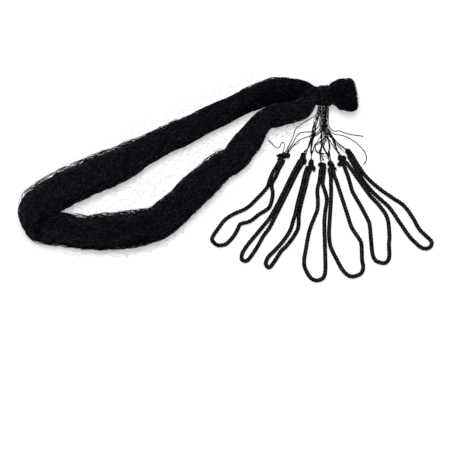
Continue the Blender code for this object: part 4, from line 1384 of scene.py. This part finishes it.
def open_net(cell, degrees, places, rng):
    """Pairs of a sweep and its tone: every stretch of open net in its places."""
    knots = open_knots(cell, degrees, rng)
    row = np.arange(len(knots))
    built = []
    for lane in range(1, knots.shape[1]):
        for step in (0, -1):
            points = smooth_line(knots[row, lane + step * (row % 2)], 7)
            curl = np.cumsum(rng.normal(0.0, 1.0, (len(points), 2)), axis=0)
            points[:, :2] += CURL * (curl - rolling_mean(curl, 15))
            for first, last in stretches_inside(points, lane, places):
                part = points[None, first:last]
                part[..., 2] = 0.16 + 0.08 * np.sin(np.arange(last - first) * 0.7)
                half = 0.5 * OPEN_THREAD
                built.append((sweep(part, UP, half, half, 3), rng.normal(0.1, 0.1)))
    return built


def stray_threads():
    """Loose threads of the net that lie on the surface behind the neck."""
    lines = np.array([smooth_line([(x, y, 0.2) for x, y in route], 8) for route in STRAYS])
    return sweep(lines, UP, STRAY_HALF, STRAY_HALF, 3), np.zeros(len(lines))


dress_net("loose_open_net", [
    *open_net(OPEN_CELL, 28.0, OPEN_PLACES, np.random.default_rng(91)),
    *open_net(DENSE_CELL, 64.0, DENSE_PLACES, np.random.default_rng(92)),
    stray_threads(),
])

# %% [markdown]
# The light is a plain soft studio: an even pale dome with one broad lamp above, over a pale
# table that glows a little, as a back-lit sheet of white acrylic does.  Black thread then
# keeps its depth, and the shadows beside it stay short and faint.

# %% Floor and light
FLOOR_COLOUR = (0.90, 0.90, 0.905, 1.0)
FLOOR_GLOW = 0.48
ROOM_LIGHT = 0.22               # strength of the even dome
LAMP_PLACE = (-0.15, 0.6, 3.0)  # above and a little behind, in metres
LAMP_SIZE = 2.25
LAMP_POWER = 57.0               # watts
WHITE = (1.0, 1.0, 1.0, 1.0)


def make_floor():
    """The pale table under the net, which is part of the studio."""
    select_none()
    bpy.ops.mesh.primitive_plane_add(size=6.0, location=(0.0, 0.0, 0.0))
    floor = bpy.context.object
    floor.name = "studio_floor"
    material = bpy.data.materials.new("studio_white")
    material.use_nodes = True
    shader = material.node_tree.nodes["Principled BSDF"]
    for socket, value in (("Base Color", FLOOR_COLOUR), ("Roughness", 0.9), ("Specular IOR Level", 0.1),
                          ("Emission Color", WHITE), ("Emission Strength", FLOOR_GLOW)):
        shader.inputs[socket].default_value = value
    floor.data.materials.append(material)


def make_lamp():
    """One broad lamp that faces the middle of the table."""
    data = bpy.data.lights.new("broad_lamp", "AREA")
    data.size = LAMP_SIZE
    data.energy = LAMP_POWER
    lamp = bpy.data.objects.new("broad_lamp", data)
    bpy.context.collection.objects.link(lamp)
    lamp.location = LAMP_PLACE
    lamp.rotation_euler = (-Vector(LAMP_PLACE)).to_track_quat("-Z", "Y").to_euler()


def make_room():
    """The even dome of light, and a plain view of the colours."""
    world = bpy.data.worlds.new("pale_room")
    world.use_nodes = True
    world.node_tree.nodes["Background"].inputs["Color"].default_value = WHITE
    world.node_tree.nodes["Background"].inputs["Strength"].default_value = ROOM_LIGHT
    bpy.context.scene.world = world
    view = bpy.context.scene.view_settings
    view.view_transform = "Standard"
    view.look = "None"
    view.exposure = 0.0
    view.gamma = 1.0


make_floor()
make_lamp()
make_room()
print("floor and light ready")
